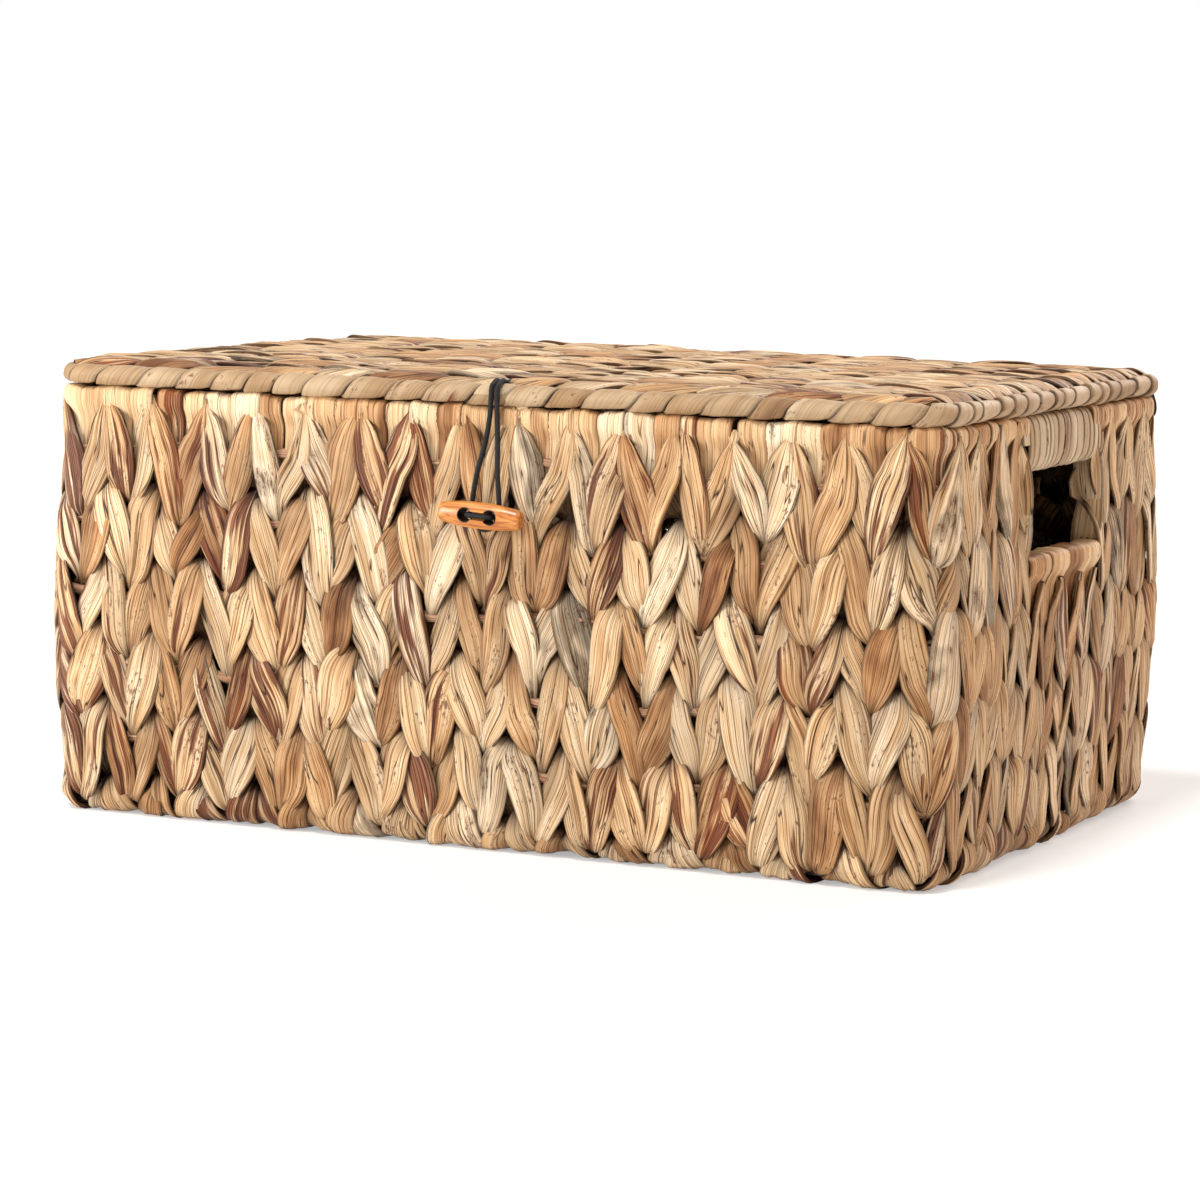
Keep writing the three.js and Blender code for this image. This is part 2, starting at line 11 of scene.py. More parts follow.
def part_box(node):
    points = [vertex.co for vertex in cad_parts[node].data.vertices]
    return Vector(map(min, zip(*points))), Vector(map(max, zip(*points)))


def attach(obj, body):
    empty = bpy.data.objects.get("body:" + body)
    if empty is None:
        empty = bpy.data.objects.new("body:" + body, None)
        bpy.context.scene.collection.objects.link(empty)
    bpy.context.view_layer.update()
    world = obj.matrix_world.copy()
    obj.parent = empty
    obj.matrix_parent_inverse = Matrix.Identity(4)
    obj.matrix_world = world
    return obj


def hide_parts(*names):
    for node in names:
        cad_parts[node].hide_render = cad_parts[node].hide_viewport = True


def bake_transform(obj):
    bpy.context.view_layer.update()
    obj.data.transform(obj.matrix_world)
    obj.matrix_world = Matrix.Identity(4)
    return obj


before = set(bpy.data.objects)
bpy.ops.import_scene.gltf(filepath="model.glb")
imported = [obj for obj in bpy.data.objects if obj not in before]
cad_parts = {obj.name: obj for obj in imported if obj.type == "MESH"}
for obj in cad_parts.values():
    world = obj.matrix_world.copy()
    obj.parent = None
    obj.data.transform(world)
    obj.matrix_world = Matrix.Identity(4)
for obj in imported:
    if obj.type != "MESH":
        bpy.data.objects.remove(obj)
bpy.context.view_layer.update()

MM = 0.001

# Camera, fitted to the corners of the box in the photograph
IMAGE_SIDE = 1200
FOCAL_PIXELS = 4085
SENSOR = 36
CAMERA_AZIMUTH = 24.819
CAMERA_ELEVATION = 6.478
CAMERA_ROLL = 1.189
CAMERA_DISTANCE = 1.6907
CAMERA_SHIFT_RIGHT = -0.00654
CAMERA_SHIFT_UP = 0.08387

# Body
BODY_WIDTH = 380 * MM
BODY_DEPTH = 264 * MM
BODY_HEIGHT = 171 * MM
BODY_CORNER = 15 * MM
WALL_THICKNESS = 12 * MM
WALL_BOW = 5 * MM
FOOT_FOLD = 9 * MM
FOOT_PUSH = 1.4 * MM

# Twined columns of the body
FRONT_COLUMNS = 31
SIDE_COLUMNS = 21
CORNER_COLUMNS = 2
COLUMN_WANDER = 1.1 * MM
STAKE_WAVE = 2.2 * MM
STATIONS_PER_LEAF = 14

# Handle openings
HANDLE_WIDTH = 79 * MM
HANDLE_TOP = 150 * MM
HANDLE_SILL = 118 * MM
HANDLE_WRAP_WIDTH = 95 * MM
HANDLE_WRAP_TURNS = 15
HANDLE_WRAP_LEAN = 3.5 * MM

# Lid
LID_ROWS = 24
LID_CROSS_WIRE_PITCH = 27 * MM
BORDER_TURNS = 78

# Closure and ties
CLOSURE_X = 9.3 * MM
CORD = 2 * MM
TIE_CORD = 2.4 * MM

# Toggle
TOGGLE_LENGTH = 34 * MM
TOGGLE_TILT = math.radians(3.2)
TOGGLE_THICKNESS = 8.16 * MM
TOGGLE_HEIGHT = 10.2 * MM
TOGGLE_END = 7 * MM
TOGGLE_HOLE = 5.4 * MM
TOGGLE_HOLE_SPACING = 10.5 * MM
TOGGLE_GROOVE = 3.2 * MM
TOGGLE_GROOVE_DEPTH = 2.3 * MM

rng = np.random.default_rng(20)


@dataclass
class Leaf:
    """How one twined leaf runs: its widths, its thickness, and how far it swings sideways and in and out."""

    width: float
    waist: float
    crown: float
    belly: float
    sway: float
    depth: float


WALL_LEAF = Leaf(14 * MM, 2.6 * MM, 1.1 * MM, 1.2 * MM, 5.8 * MM, 3.6 * MM)
LID_LEAF = Leaf(13 * MM, 3.6 * MM, 1.2 * MM, 1.2 * MM, 5.2 * MM, 3.4 * MM)
BASE_LEAF = Leaf(13 * MM, 3.6 * MM, 1.2 * MM, 1.2 * MM, 5.2 * MM, 2.9 * MM)


def added(name, data):
    """Puts an object with this data in the scene."""
    made = bpy.data.objects.new(name, data)
    bpy.context.scene.collection.objects.link(made)
    return made


# Camera

def camera_axes():
    azimuth, elevation = math.radians(CAMERA_AZIMUTH), math.radians(CAMERA_ELEVATION)
    back = Vector((
        math.sin(azimuth) * math.cos(elevation),
        -math.cos(azimuth) * math.cos(elevation),
        math.sin(elevation),
    ))
    right = Vector((math.cos(azimuth), math.sin(azimuth), 0))
    return right, back.cross(right), back


def make_camera():
    right, up, back = camera_axes()
    roll = math.radians(CAMERA_ROLL)
    image_x = right * math.cos(roll) + up * math.sin(roll)
    image_y = up * math.cos(roll) - right * math.sin(roll)
    data = bpy.data.cameras.new("camera")
    data.sensor_width = SENSOR
    data.lens = FOCAL_PIXELS / IMAGE_SIDE * SENSOR
    camera = added("camera", data)
    turn = Matrix((image_x, image_y, back)).transposed().to_4x4()
    place = right * CAMERA_SHIFT_RIGHT + up * CAMERA_SHIFT_UP + back * CAMERA_DISTANCE
    camera.matrix_world = Matrix.Translation(place) @ turn
    bpy.context.scene.camera = camera


make_camera()


# Materials

def linear(colour):
    """The linear colour of an sRGB hex value."""
    shares = [int(colour[i:i + 2], 16) / 255 for i in (1, 3, 5)]
    return (*[c / 12.92 if c <= 0.04045 else ((c + 0.055) / 1.055) ** 2.4 for c in shares], 1)


def node(tree, kind, sockets=(), stops=(), **settings):
    """Adds a shader node: sockets are set to a value or linked from another node's output."""
    made = tree.nodes.new("ShaderNode" + kind)
    for name, value in settings.items():
        setattr(made, name, value)
    for key, value in dict(sockets).items():
        if isinstance(value, bpy.types.NodeSocket):
            tree.links.new(value, made.inputs[key])
        else:
            made.inputs[key].default_value = value
    for index, (place, colour) in enumerate(stops):
        bands = made.color_ramp.elements
        band = bands[index] if index < 2 else bands.new(place)
        band.position = place
        band.color = linear(colour)
    return made


def empty_tree(owner):
    owner.use_nodes = True
    owner.node_tree.nodes.clear()
    return owner.node_tree


def new_material(name, values):
    """A material, its tree and its surface, with those values of the surface that are the same all over."""
    material = bpy.data.materials.new(name)
    tree = empty_tree(material)
    output = node(tree, "OutputMaterial")
    surface = node(tree, "BsdfPrincipled", values)
    tree.links.new(surface.outputs[0], output.inputs["Surface"])
    return material, tree, surface


def maths(tree, operation, *values):
    return node(tree, "Math", dict(enumerate(values)), operation=operation).outputs[0]


def ramp(tree, value, start, end, low, high, kind="LINEAR"):
    """Goes from low to high as the value goes from start to end."""
    sockets = {0: value, 1: start, 2: end, 3: low, 4: high}
    return node(tree, "MapRange", sockets, interpolation_type=kind).outputs[0]


def mixed(tree, share, below, above, blend="MIX"):
    sockets = {0: share, 6: below, 7: above}
    return node(tree, "Mix", sockets, data_type="RGBA", blend_type=blend).outputs[2]


def banded(tree, value, stops):
    """The colour that a value has among colour stops."""
    return node(tree, "ValToRGB", {0: value}, stops=stops).outputs[0]


def bump(tree, surface, height, strength, depth):
    raised = node(tree, "Bump", {"Strength": strength, "Distance": depth, "Height": height})
    tree.links.new(raised.outputs[0], surface.inputs["Normal"])


# Gap across the leaf, and run along it, of each pattern in dried leaf
VEIN_GAP = 0.5 * MM
VEIN_RUN = 80 * MM
LINE_GAP = 1.5 * MM
FOLD_GAP = 3.4 * MM
FOLD_RUN = 90 * MM
STREAK_GAP = 2.6 * MM
STREAK_RUN = 40 * MM
CLOUD_GAP = 8 * MM
CLOUD_RUN = 22 * MM
SPECK_GAP = 0.9 * MM
SPECK_RUN = 2.2 * MM
VEIN_DEPTH = 0.5 * MM
FIBRE_GLOSS_SHARE = 0.2
FIBRE_IOR = 1.45
LINE_WIDTH_SHARE = 0.018
CREASE_WIDTH_SHARE = 0.014
VEIN_TONES = [(0.34, "#74502C"), (0.45, "#E4CEB0"), (0.55, "#FFFFFF")]
RUST_TONES = [(0.34, "#260C05"), (0.5, "#66260A"), (0.68, "#985226")]
SPOT_BROWN = "#6B3C20"
LINE_BROWN = "#30140A"
# Painted shade: the brown that darkens leaf edges, deep places in the weave and the seams of wound strips
PAINTED_SHADE_BROWN = "#301408"


def dried_leaf(name, tones, roughness, vein_share, line_share, bump_share):
    """Dried leaf strip: satin straw with fine parallel veins and sharp dark fold lines, rust-brown bands and
    brown specks along it, cloudy in tone, with painted shade at its edges and where it dives between or under
    its neighbours."""
    values = {"Roughness": roughness, "IOR": FIBRE_IOR, "Specular IOR Level": FIBRE_GLOSS_SHARE}
    material, tree, surface = new_material(name, values)
    strip = node(tree, "UVMap", uv_map="strip")
    across = node(tree, "SeparateXYZ", {0: strip.outputs["UV"]})
    seed, tone, rust, painted_shade = [
        node(tree, "Attribute", attribute_name=f"leaf_{key}").outputs["Fac"]
        for key in ("seed", "tone", "rust", "painted_shade")
    ]

    def grain(gap, run, detail, shift):
        wide = maths(tree, "MULTIPLY", across.outputs["X"], WALL_LEAF.width / gap)
        long = maths(tree, "MULTIPLY", across.outputs["Y"], 1 / run)
        place = node(tree, "CombineXYZ", {0: wide, 1: long, 2: maths(tree, "ADD", seed, shift)})
        sockets = {"Vector": place.outputs[0], "Scale": 1.0, "Detail": detail, "Roughness": 0.6}
        return node(tree, "TexNoise", sockets).outputs[0]

    def off_centre(value):
        return maths(tree, "ABSOLUTE", maths(tree, "SUBTRACT", value, 0.5))

    def thin_lines(gap, shift, width_share, strength):
        ridges = off_centre(grain(gap, FOLD_RUN, 1, shift))
        return ramp(tree, ridges, 0, width_share, strength, 0, "SMOOTHSTEP")

    veins = grain(VEIN_GAP, VEIN_RUN, 2, 0)
    cloud = grain(CLOUD_GAP, CLOUD_RUN, 2, 13)
    streaks = grain(STREAK_GAP, STREAK_RUN, 2, 67)
    specks = grain(SPECK_GAP, SPECK_RUN, 2, 41)

    own_tone = maths(tree, "ADD", tone, ramp(tree, cloud, 0.3, 0.7, -0.2, 0.16))
    shade = banded(tree, veins, VEIN_TONES)
    colour = mixed(tree, vein_share, banded(tree, own_tone, tones), shade, "MULTIPLY")
    stain = ramp(tree, maths(tree, "ADD", streaks, rust), 0.93, 1.03, 0, 0.9, "SMOOTHSTEP")
    colour = mixed(tree, stain, colour, banded(tree, veins, RUST_TONES))
    spots = ramp(tree, maths(tree, "ADD", cloud, specks), 1.17, 1.33, 0, 0.8, "SMOOTHSTEP")
    colour = mixed(tree, spots, colour, linear(SPOT_BROWN))
    lines = thin_lines(LINE_GAP, 89, LINE_WIDTH_SHARE, 0.8 * line_share)
    faded = maths(tree, "MULTIPLY", lines, ramp(tree, cloud, 0.38, 0.6, 0.9, 0.2))
    creases = thin_lines(FOLD_GAP, 31, CREASE_WIDTH_SHARE, 0.95 * line_share)
    dark_lines = maths(tree, "MAXIMUM", faded, creases)
    colour = mixed(tree, dark_lines, colour, linear(LINE_BROWN))
    # Painted shade: darker towards the leaf's edges and where the mesh marks it as lying deep or tucked under
    edge = ramp(tree, off_centre(across.outputs["X"]), 0.41, 0.5, 0, 0.85 * line_share)
    shaded = maths(tree, "MAXIMUM", painted_shade, edge)
    colour = mixed(tree, shaded, colour, linear(PAINTED_SHADE_BROWN), "MULTIPLY")
    tree.links.new(colour, surface.inputs["Base Color"])
    bump(tree, surface, maths(tree, "MULTIPLY_ADD", dark_lines, -1, veins), bump_share, VEIN_DEPTH)
    return material


STRAW_TONES = [
    (0.0, "#885C3A"), (0.2, "#BE9266"), (0.42, "#DCB88C"), (0.64, "#ECD2AC"), (0.84, "#F4E2C6"),
    (0.96, "#A49680"),
]
PALE_TONES = [(0.0, "#886A4C"), (0.35, "#A68A68"), (0.7, "#BCA688"), (1.0, "#D2C2A6")]
RUSH_TONES = [(0.0, "#84604A"), (0.5, "#B08C72"), (1.0, "#CCAC90")]

# Leaf twisted as it is twined: all its veins and folds stand out
twined_leaf = dried_leaf("dried_hyacinth_leaf_twined", STRAW_TONES, 0.5, 0.85, 1, 0.7)
# Leaf pressed flat over an edge: smoother, with fainter veins
folded_leaf = dried_leaf("dried_hyacinth_leaf_folded", STRAW_TONES, 0.5, 0.45, 0.8, 0.6)
# Leaf wound tight: pale, even and nearly without lines
wound_leaf = dried_leaf("dried_hyacinth_leaf_wound", PALE_TONES, 0.48, 0.35, 0.15, 0.4)
# Rush bundle: pinkish tan and matt, ribbed along its length
stake_material = dried_leaf("twisted_rush_stake", RUSH_TONES, 0.75, 0.8, 0.6, 0.7)

LACQUER_WEAR = 6 * MM
LACQUER_TONES = [(0.3, "#1E1713"), (0.7, "#3A2E26")]
PORE_RUN = 14 * MM
PORE_GAP = 1 * MM
PORE_DEPTH = 0.2 * MM
OILED_TONES = [(0.3, "#8C4A1C"), (0.45, "#B96E2C"), (0.6, "#D08A40"), (0.78, "#E0A35A")]
# Painted shade inside the toggle's drilled holes: its brown, and where it starts and fades past the bore
HOLE_SHADE_BROWN = "#1E0F08"
HOLE_SHADE_START = 0.15 * MM
HOLE_SHADE_RUN = 0.3 * MM
BRAID_RUN = 0.9 * MM
BRAID_DEPTH = 0.15 * MM
BRAID_STRANDS = 4
BRAID_HIGHLIGHT_TONES = [(0.0, "#070606"), (1.0, "#1A1715")]


def painted_wire():
    """Painted steel wire: dark brown lacquer with a soft gloss, a little uneven in tone."""
    material, tree, surface = new_material("brown_lacquered_steel_wire", {})
    place = node(tree, "TexCoord")
    sockets = {"Vector": place.outputs["Object"], "Scale": 1 / LACQUER_WEAR, "Detail": 4}
    wear = node(tree, "TexNoise", sockets).outputs[0]
    tree.links.new(banded(tree, wear, LACQUER_TONES), surface.inputs["Base Color"])
    tree.links.new(ramp(tree, wear, 0, 1, 0.35, 0.6), surface.inputs["Roughness"])
    return material


def oiled_wood():
    """Oiled turned hardwood: orange-brown with fine dark pores along the grain, a soft sheen, and painted
    shade darkening the inside of its drilled holes."""
    values = {"Roughness": 0.36, "Coat Weight": 0.25, "Coat Roughness": 0.25}
    material, tree, surface = new_material("oiled_hardwood_toggle", values)
    place = node(tree, "TexCoord")
    scale = (1 / PORE_RUN, 1 / PORE_GAP, 1 / PORE_GAP)
    stretch = node(tree, "Mapping", {"Vector": place.outputs["Object"], "Scale": scale})
    sockets = {"Vector": stretch.outputs[0], "Scale": 1.0, "Detail": 5, "Distortion": 0.3}
    grain = node(tree, "TexNoise", sockets).outputs[0]
    part = node(tree, "SeparateXYZ", {0: place.outputs["Object"]})
    # Painted shade: the inside of each drilled hole and a thin ring round it are painted near black
    beside = maths(tree, "ABSOLUTE", part.outputs["X"])
    from_hole = maths(tree, "SUBTRACT", beside, TOGGLE_HOLE_SPACING / 2)
    across = node(tree, "CombineXYZ", {0: from_hole, 1: part.outputs["Z"]})
    distance = node(tree, "VectorMath", {0: across.outputs[0]}, operation="LENGTH")
    rim = TOGGLE_HOLE / 2 + HOLE_SHADE_START
    hole = ramp(tree, distance.outputs["Value"], rim, rim + HOLE_SHADE_RUN, 1, 0)
    colour = mixed(tree, hole, banded(tree, grain, OILED_TONES), linear(HOLE_SHADE_BROWN))
    tree.links.new(colour, surface.inputs["Base Color"])
    bump(tree, surface, grain, 0.3, PORE_DEPTH)
    return material


def braided_cord():
    """Braided black cord: matt, with a fine diagonal braid in its bump, whose raised strands are painted a
    little lighter as a painted highlight.
    """
    material, tree, surface = new_material("braided_black_elastic_cord", {"Roughness": 0.8})
    strip = node(tree, "UVMap", uv_map="strip")
    part = node(tree, "SeparateXYZ", {0: strip.outputs["UV"]})
    along = maths(tree, "MULTIPLY", part.outputs["Y"], 1 / BRAID_RUN)
    around = maths(tree, "MULTIPLY", part.outputs["X"], BRAID_STRANDS)
    waves = []
    for direction in ("ADD", "SUBTRACT"):
        diagonal = maths(tree, direction, along, around)
        waves.append(maths(tree, "SINE", maths(tree, "MULTIPLY", diagonal, 2 * math.pi)))
    braid = maths(tree, "MULTIPLY", *waves)
    # Painted highlight: the braid's raised strands are coloured a little lighter than its grooves
    tree.links.new(banded(tree, braid, BRAID_HIGHLIGHT_TONES), surface.inputs["Base Color"])
    bump(tree, surface, braid, 0.5, BRAID_DEPTH)
    return material


wire_material = painted_wire()
toggle_material = oiled_wood()
cord_material = braided_cord()


# Meshes from grids of points

def link(name, mesh, material, body, slot, *replaced):
    """Puts a mesh in the scene as a piece of the box."""
    mesh.materials.append(material)
    piece = added(name, mesh)
    if body:
        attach(piece, body)
    if replaced:
        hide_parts(*replaced)
    return piece


def facing_out(points, faces):
    """The faces, wound so that most of them look away from the middle of their own station."""
    corners = points.reshape(-1, 3)[faces]
    normals = np.cross(corners[:, 1] - corners[:, 0], corners[:, 2] - corners[:, 0])
    middles = np.repeat(points.mean(axis=2).reshape(-1, 3), points.shape[2], axis=0)[faces[:, 0]]
    outward = np.einsum("ij,ij->i", normals, corners.mean(axis=1) - middles).sum()
    return faces if outward > 0 else faces[:, ::-1]


def grid_mesh(name, points, strip, leaf, closed=True):
    """One mesh of many strips. points has the shape strips, stations, places round a section, 3.

    strip holds the place across and along for each point, and leaf its tone, rust, seed and painted shade.
    """
    strips, stations, ring = points.shape[:3]
    number = np.arange(points[..., 0].size).reshape(strips, stations, ring)
    this = number if closed else number[:, :, :-1]
    beside = np.roll(number, -1, axis=2) if closed else number[:, :, 1:]
    faces = np.stack([this[:, :-1], beside[:, :-1], beside[:, 1:], this[:, 1:]], axis=-1).reshape(-1, 4)
    faces = facing_out(points, faces)
    mesh = bpy.data.meshes.new(name)
    mesh.vertices.add(number.size)
    mesh.vertices.foreach_set("co", points.astype(np.float32).ravel())
    mesh.loops.add(faces.size)
    mesh.loops.foreach_set("vertex_index", faces.astype(np.int32).ravel())
    mesh.polygons.add(len(faces))
    mesh.polygons.foreach_set("loop_start", np.arange(0, faces.size, 4, dtype=np.int32))
    mesh.update(calc_edges=True)
    layer = mesh.uv_layers.new(name="strip")
    layer.uv.foreach_set("vector", strip.reshape(-1, 2)[faces.ravel()].astype(np.float32).ravel())
    for key, values in zip(("leaf_tone", "leaf_rust", "leaf_seed", "leaf_painted_shade"), leaf):
        attribute = mesh.attributes.new(key, "FLOAT", "POINT")
        full = np.broadcast_to(values, points.shape[:3])
        attribute.data.foreach_set("value", full.astype(np.float32).ravel())
    mesh.shade_smooth()
    return mesh


LEAF_FRONT_POINTS = 12
LEAF_BACK_POINTS = 5
SECTION_SQUARENESS = 0.6


def squared(wave, squareness):
    """A sine or cosine wave, squarer the smaller the power is."""
    return np.sign(wave) * np.abs(wave) ** squareness


def section():
    """Places round a leaf's section: share across, and height over the outer face (+) or inner face (-)."""
    over = np.linspace(0, math.pi, LEAF_FRONT_POINTS)
    under = np.linspace(math.pi, 2 * math.pi, LEAF_BACK_POINTS + 2)[1:-1]
    around = np.concatenate([over, under])
    return (1 - np.cos(around)) / 2, squared(np.sin(around), SECTION_SQUARENESS)


def paired(across, along):
    """The place on a strip of each point, across it and along it."""
    return np.stack(np.broadcast_arrays(across, along), axis=-1)


STRAW_TONE_SHARE = 0.88
GREY_TONE_SHARE = 0.96
GREY_SHARE = 0.06
FAINT_RUST_SHARE = 0.3
RUST_SHARES = (0.34, 0.52)
SEEDS = 900


def leaf_looks(count, rusty_share, pieces=1):
    """Tone and rust for leaves: most are straw, some grey, and a share of them rust-brown."""
    size = (count, pieces)
    tone = rng.beta(2.0, 1.4, size) * STRAW_TONE_SHARE
    tone = np.where(rng.random(size) < GREY_SHARE, GREY_TONE_SHARE, tone)
    rust = rng.random(size) * FAINT_RUST_SHARE
    rust = np.where(rng.random(size) < rusty_share, rng.uniform(*RUST_SHARES, size), rust)
    return tone, rust


# The wall's path round the body, and the weave's places on it

def ring_knots(half_x, half_y, radius):
    """Knots of a rounded rectangle from the middle of the front: distance, core x and y, angle."""
    arc = math.pi / 2 * radius
    core_x, core_y = half_x - radius, half_y - radius
    runs = [core_x, arc, 2 * core_y, arc, 2 * core_x, arc, 2 * core_y, arc, core_x]
    distance = np.concatenate([[0], np.cumsum(runs)])
    xs = core_x * np.array([0, 1, 1, 1, 1, -1, -1, -1, -1, 0])
    ys = core_y * np.array([-1, -1, -1, 1, 1, 1, 1, -1, -1, -1])
    angles = np.radians([-90, -90, 0, 0, 90, 90, 180, 180, 270, 270])
    return distance, xs, ys, angles


def on_ring(knots, radius, along, out, height):
    """World places of points that lie along a rounded rectangle and out from it."""
    distance, xs, ys, angles = knots
    along = np.mod(along, distance[-1])
    angle = np.interp(along, distance, angles)
    reach = radius + out
    x = np.interp(along, distance, xs) + reach * np.cos(angle)
    y = np.interp(along, distance, ys) + reach * np.sin(angle)
    return np.stack([x, y, np.broadcast_to(height, x.shape)], axis=-1)


BODY_KNOTS = ring_knots(BODY_WIDTH / 2, BODY_DEPTH / 2, BODY_CORNER)
BODY_ROUND = BODY_KNOTS[0][-1]
HALF_WALL = WALL_THICKNESS / 2
LEAST_FOOT_REACH = 0.5 * MM


def bow(z):
    return WALL_BOW * np.sin(np.pi * np.clip(z / BODY_HEIGHT, 0, 1))


def on_wall(along, out, rise):
    """World places on the wall: out from its middle, and up it from the fold under the foot.

    The outer leaves stand out a little more at the foot, where they go round the base wire.
    """
    low = np.clip((2 * FOOT_FOLD - rise) / FOOT_FOLD, 0, 1)
    out = out + FOOT_PUSH * low * np.clip(out / HALF_WALL * 3, 0, 1)
    foot_radius = FOOT_FOLD - HALF_WALL
    turn = np.clip((FOOT_FOLD - rise) / FOOT_FOLD, 0, math.pi / 2)
    flat = np.maximum(FOOT_FOLD - rise - FOOT_FOLD * math.pi / 2, 0)
    reach = np.maximum(foot_radius + out, LEAST_FOOT_REACH)
    folded = -FOOT_FOLD + (reach + bow(FOOT_FOLD)) * np.cos(turn) - flat
    folded_height = FOOT_FOLD - reach * np.sin(turn)
    up = rise >= FOOT_FOLD
    height = np.where(up, rise, folded_height)
    outward = np.where(up, out - HALF_WALL + bow(rise), folded)
    return on_ring(BODY_KNOTS, BODY_CORNER, along, outward, np.maximum(height, 0))


def on_body(along, out, height, bowed_at):
    """World places at a height beside the wall, which bows there as it does at the height bowed_at."""
    return on_ring(BODY_KNOTS, BODY_CORNER, along, out - HALF_WALL + bow(bowed_at), height)


# Twining

stake_nodes = ["stake_ring_1", "stake_ring_2", "stake_ring_3", "front_stake_4", "front_stake_5"]
stake_heights = np.array([sum(corner.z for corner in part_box(name)) / 2 for name in stake_nodes])
WAVE_COUNTS = np.array([5, 9, 16])
wave_phases = rng.random((len(stake_nodes), len(WAVE_COUNTS))) * 2 * math.pi


def stake_wave(along, stake):
    """How far a stake lies above its straight line at a place round the body."""
    place = 2 * math.pi * along[..., None] / BODY_ROUND * WAVE_COUNTS
    return STAKE_WAVE * np.sin(place + wave_phases[stake]).sum(axis=-1) / 2


def rise_at(along, phase):
    """Height on the wall of each phase of the twist: a whole number is a stake."""
    heights = np.stack([level + stake_wave(along, k) for k, level in enumerate(stake_heights)], axis=-1)
    below, above = phase < 0, phase > len(stake_heights) - 1
    pitch = (stake_heights[-1] - stake_heights[0]) / (len(stake_heights) - 1)
    stake = np.clip(np.floor(phase).astype(int), 0, len(stake_heights) - 2)
    rows = np.arange(len(along))[:, None]
    share = phase - stake
    within = heights[rows, stake] * (1 - share) + heights[rows, stake + 1] * share
    under = heights[:, :1] + phase * pitch
    over = heights[:, -1:] + (phase - len(stake_heights) + 1) * pitch
    return np.where(below, under, np.where(above, over, within))


LEAF_ROLL = math.radians(8)
LEAF_TILT = math.radians(12)
LEAF_TURN = 0.6 * MM
STEEPEST_SLANT = math.radians(40)
LEAF_DROP = 0.2
FRONT_SHARE = 0.72
DIVE_SHARE = 0.69
STRAIGHTNESS = 0.985
DIVE = 2.0
SHINGLE = 0.05
SLIP = 0.2
TOP_STRETCH = 0.25
TIP_SHARE = 0.3
TIP_LIFT = 1.2 * MM
TIP_LIFT_RUN = 0.5
LEAF_SINK = 0.9 * MM
LEAF_RISE = 0.6 * MM
LEAF_WIDTH_SHARES = (0.8, 1.26)
BROAD_FOLD = 0.22 * MM
FINE_FOLD = 0.16 * MM
SPLIT_DEPTH = 0.9 * MM
SPLIT_WIDTH_SHARE = 0.05
BACK_WIDTH_SHARE = 1.5
JAMB_WIDTH_SHARE = 0.8
# Painted shade: a leaf is painted darker within the first distance of the wall's middle, and its upper end
# darker by the second share where the row above covers it
PAINTED_SHADE_REACH = 4.6 * MM
TUCKED_SHADE_SHARE = 0.55
RUSTY_SHARE = 0.2


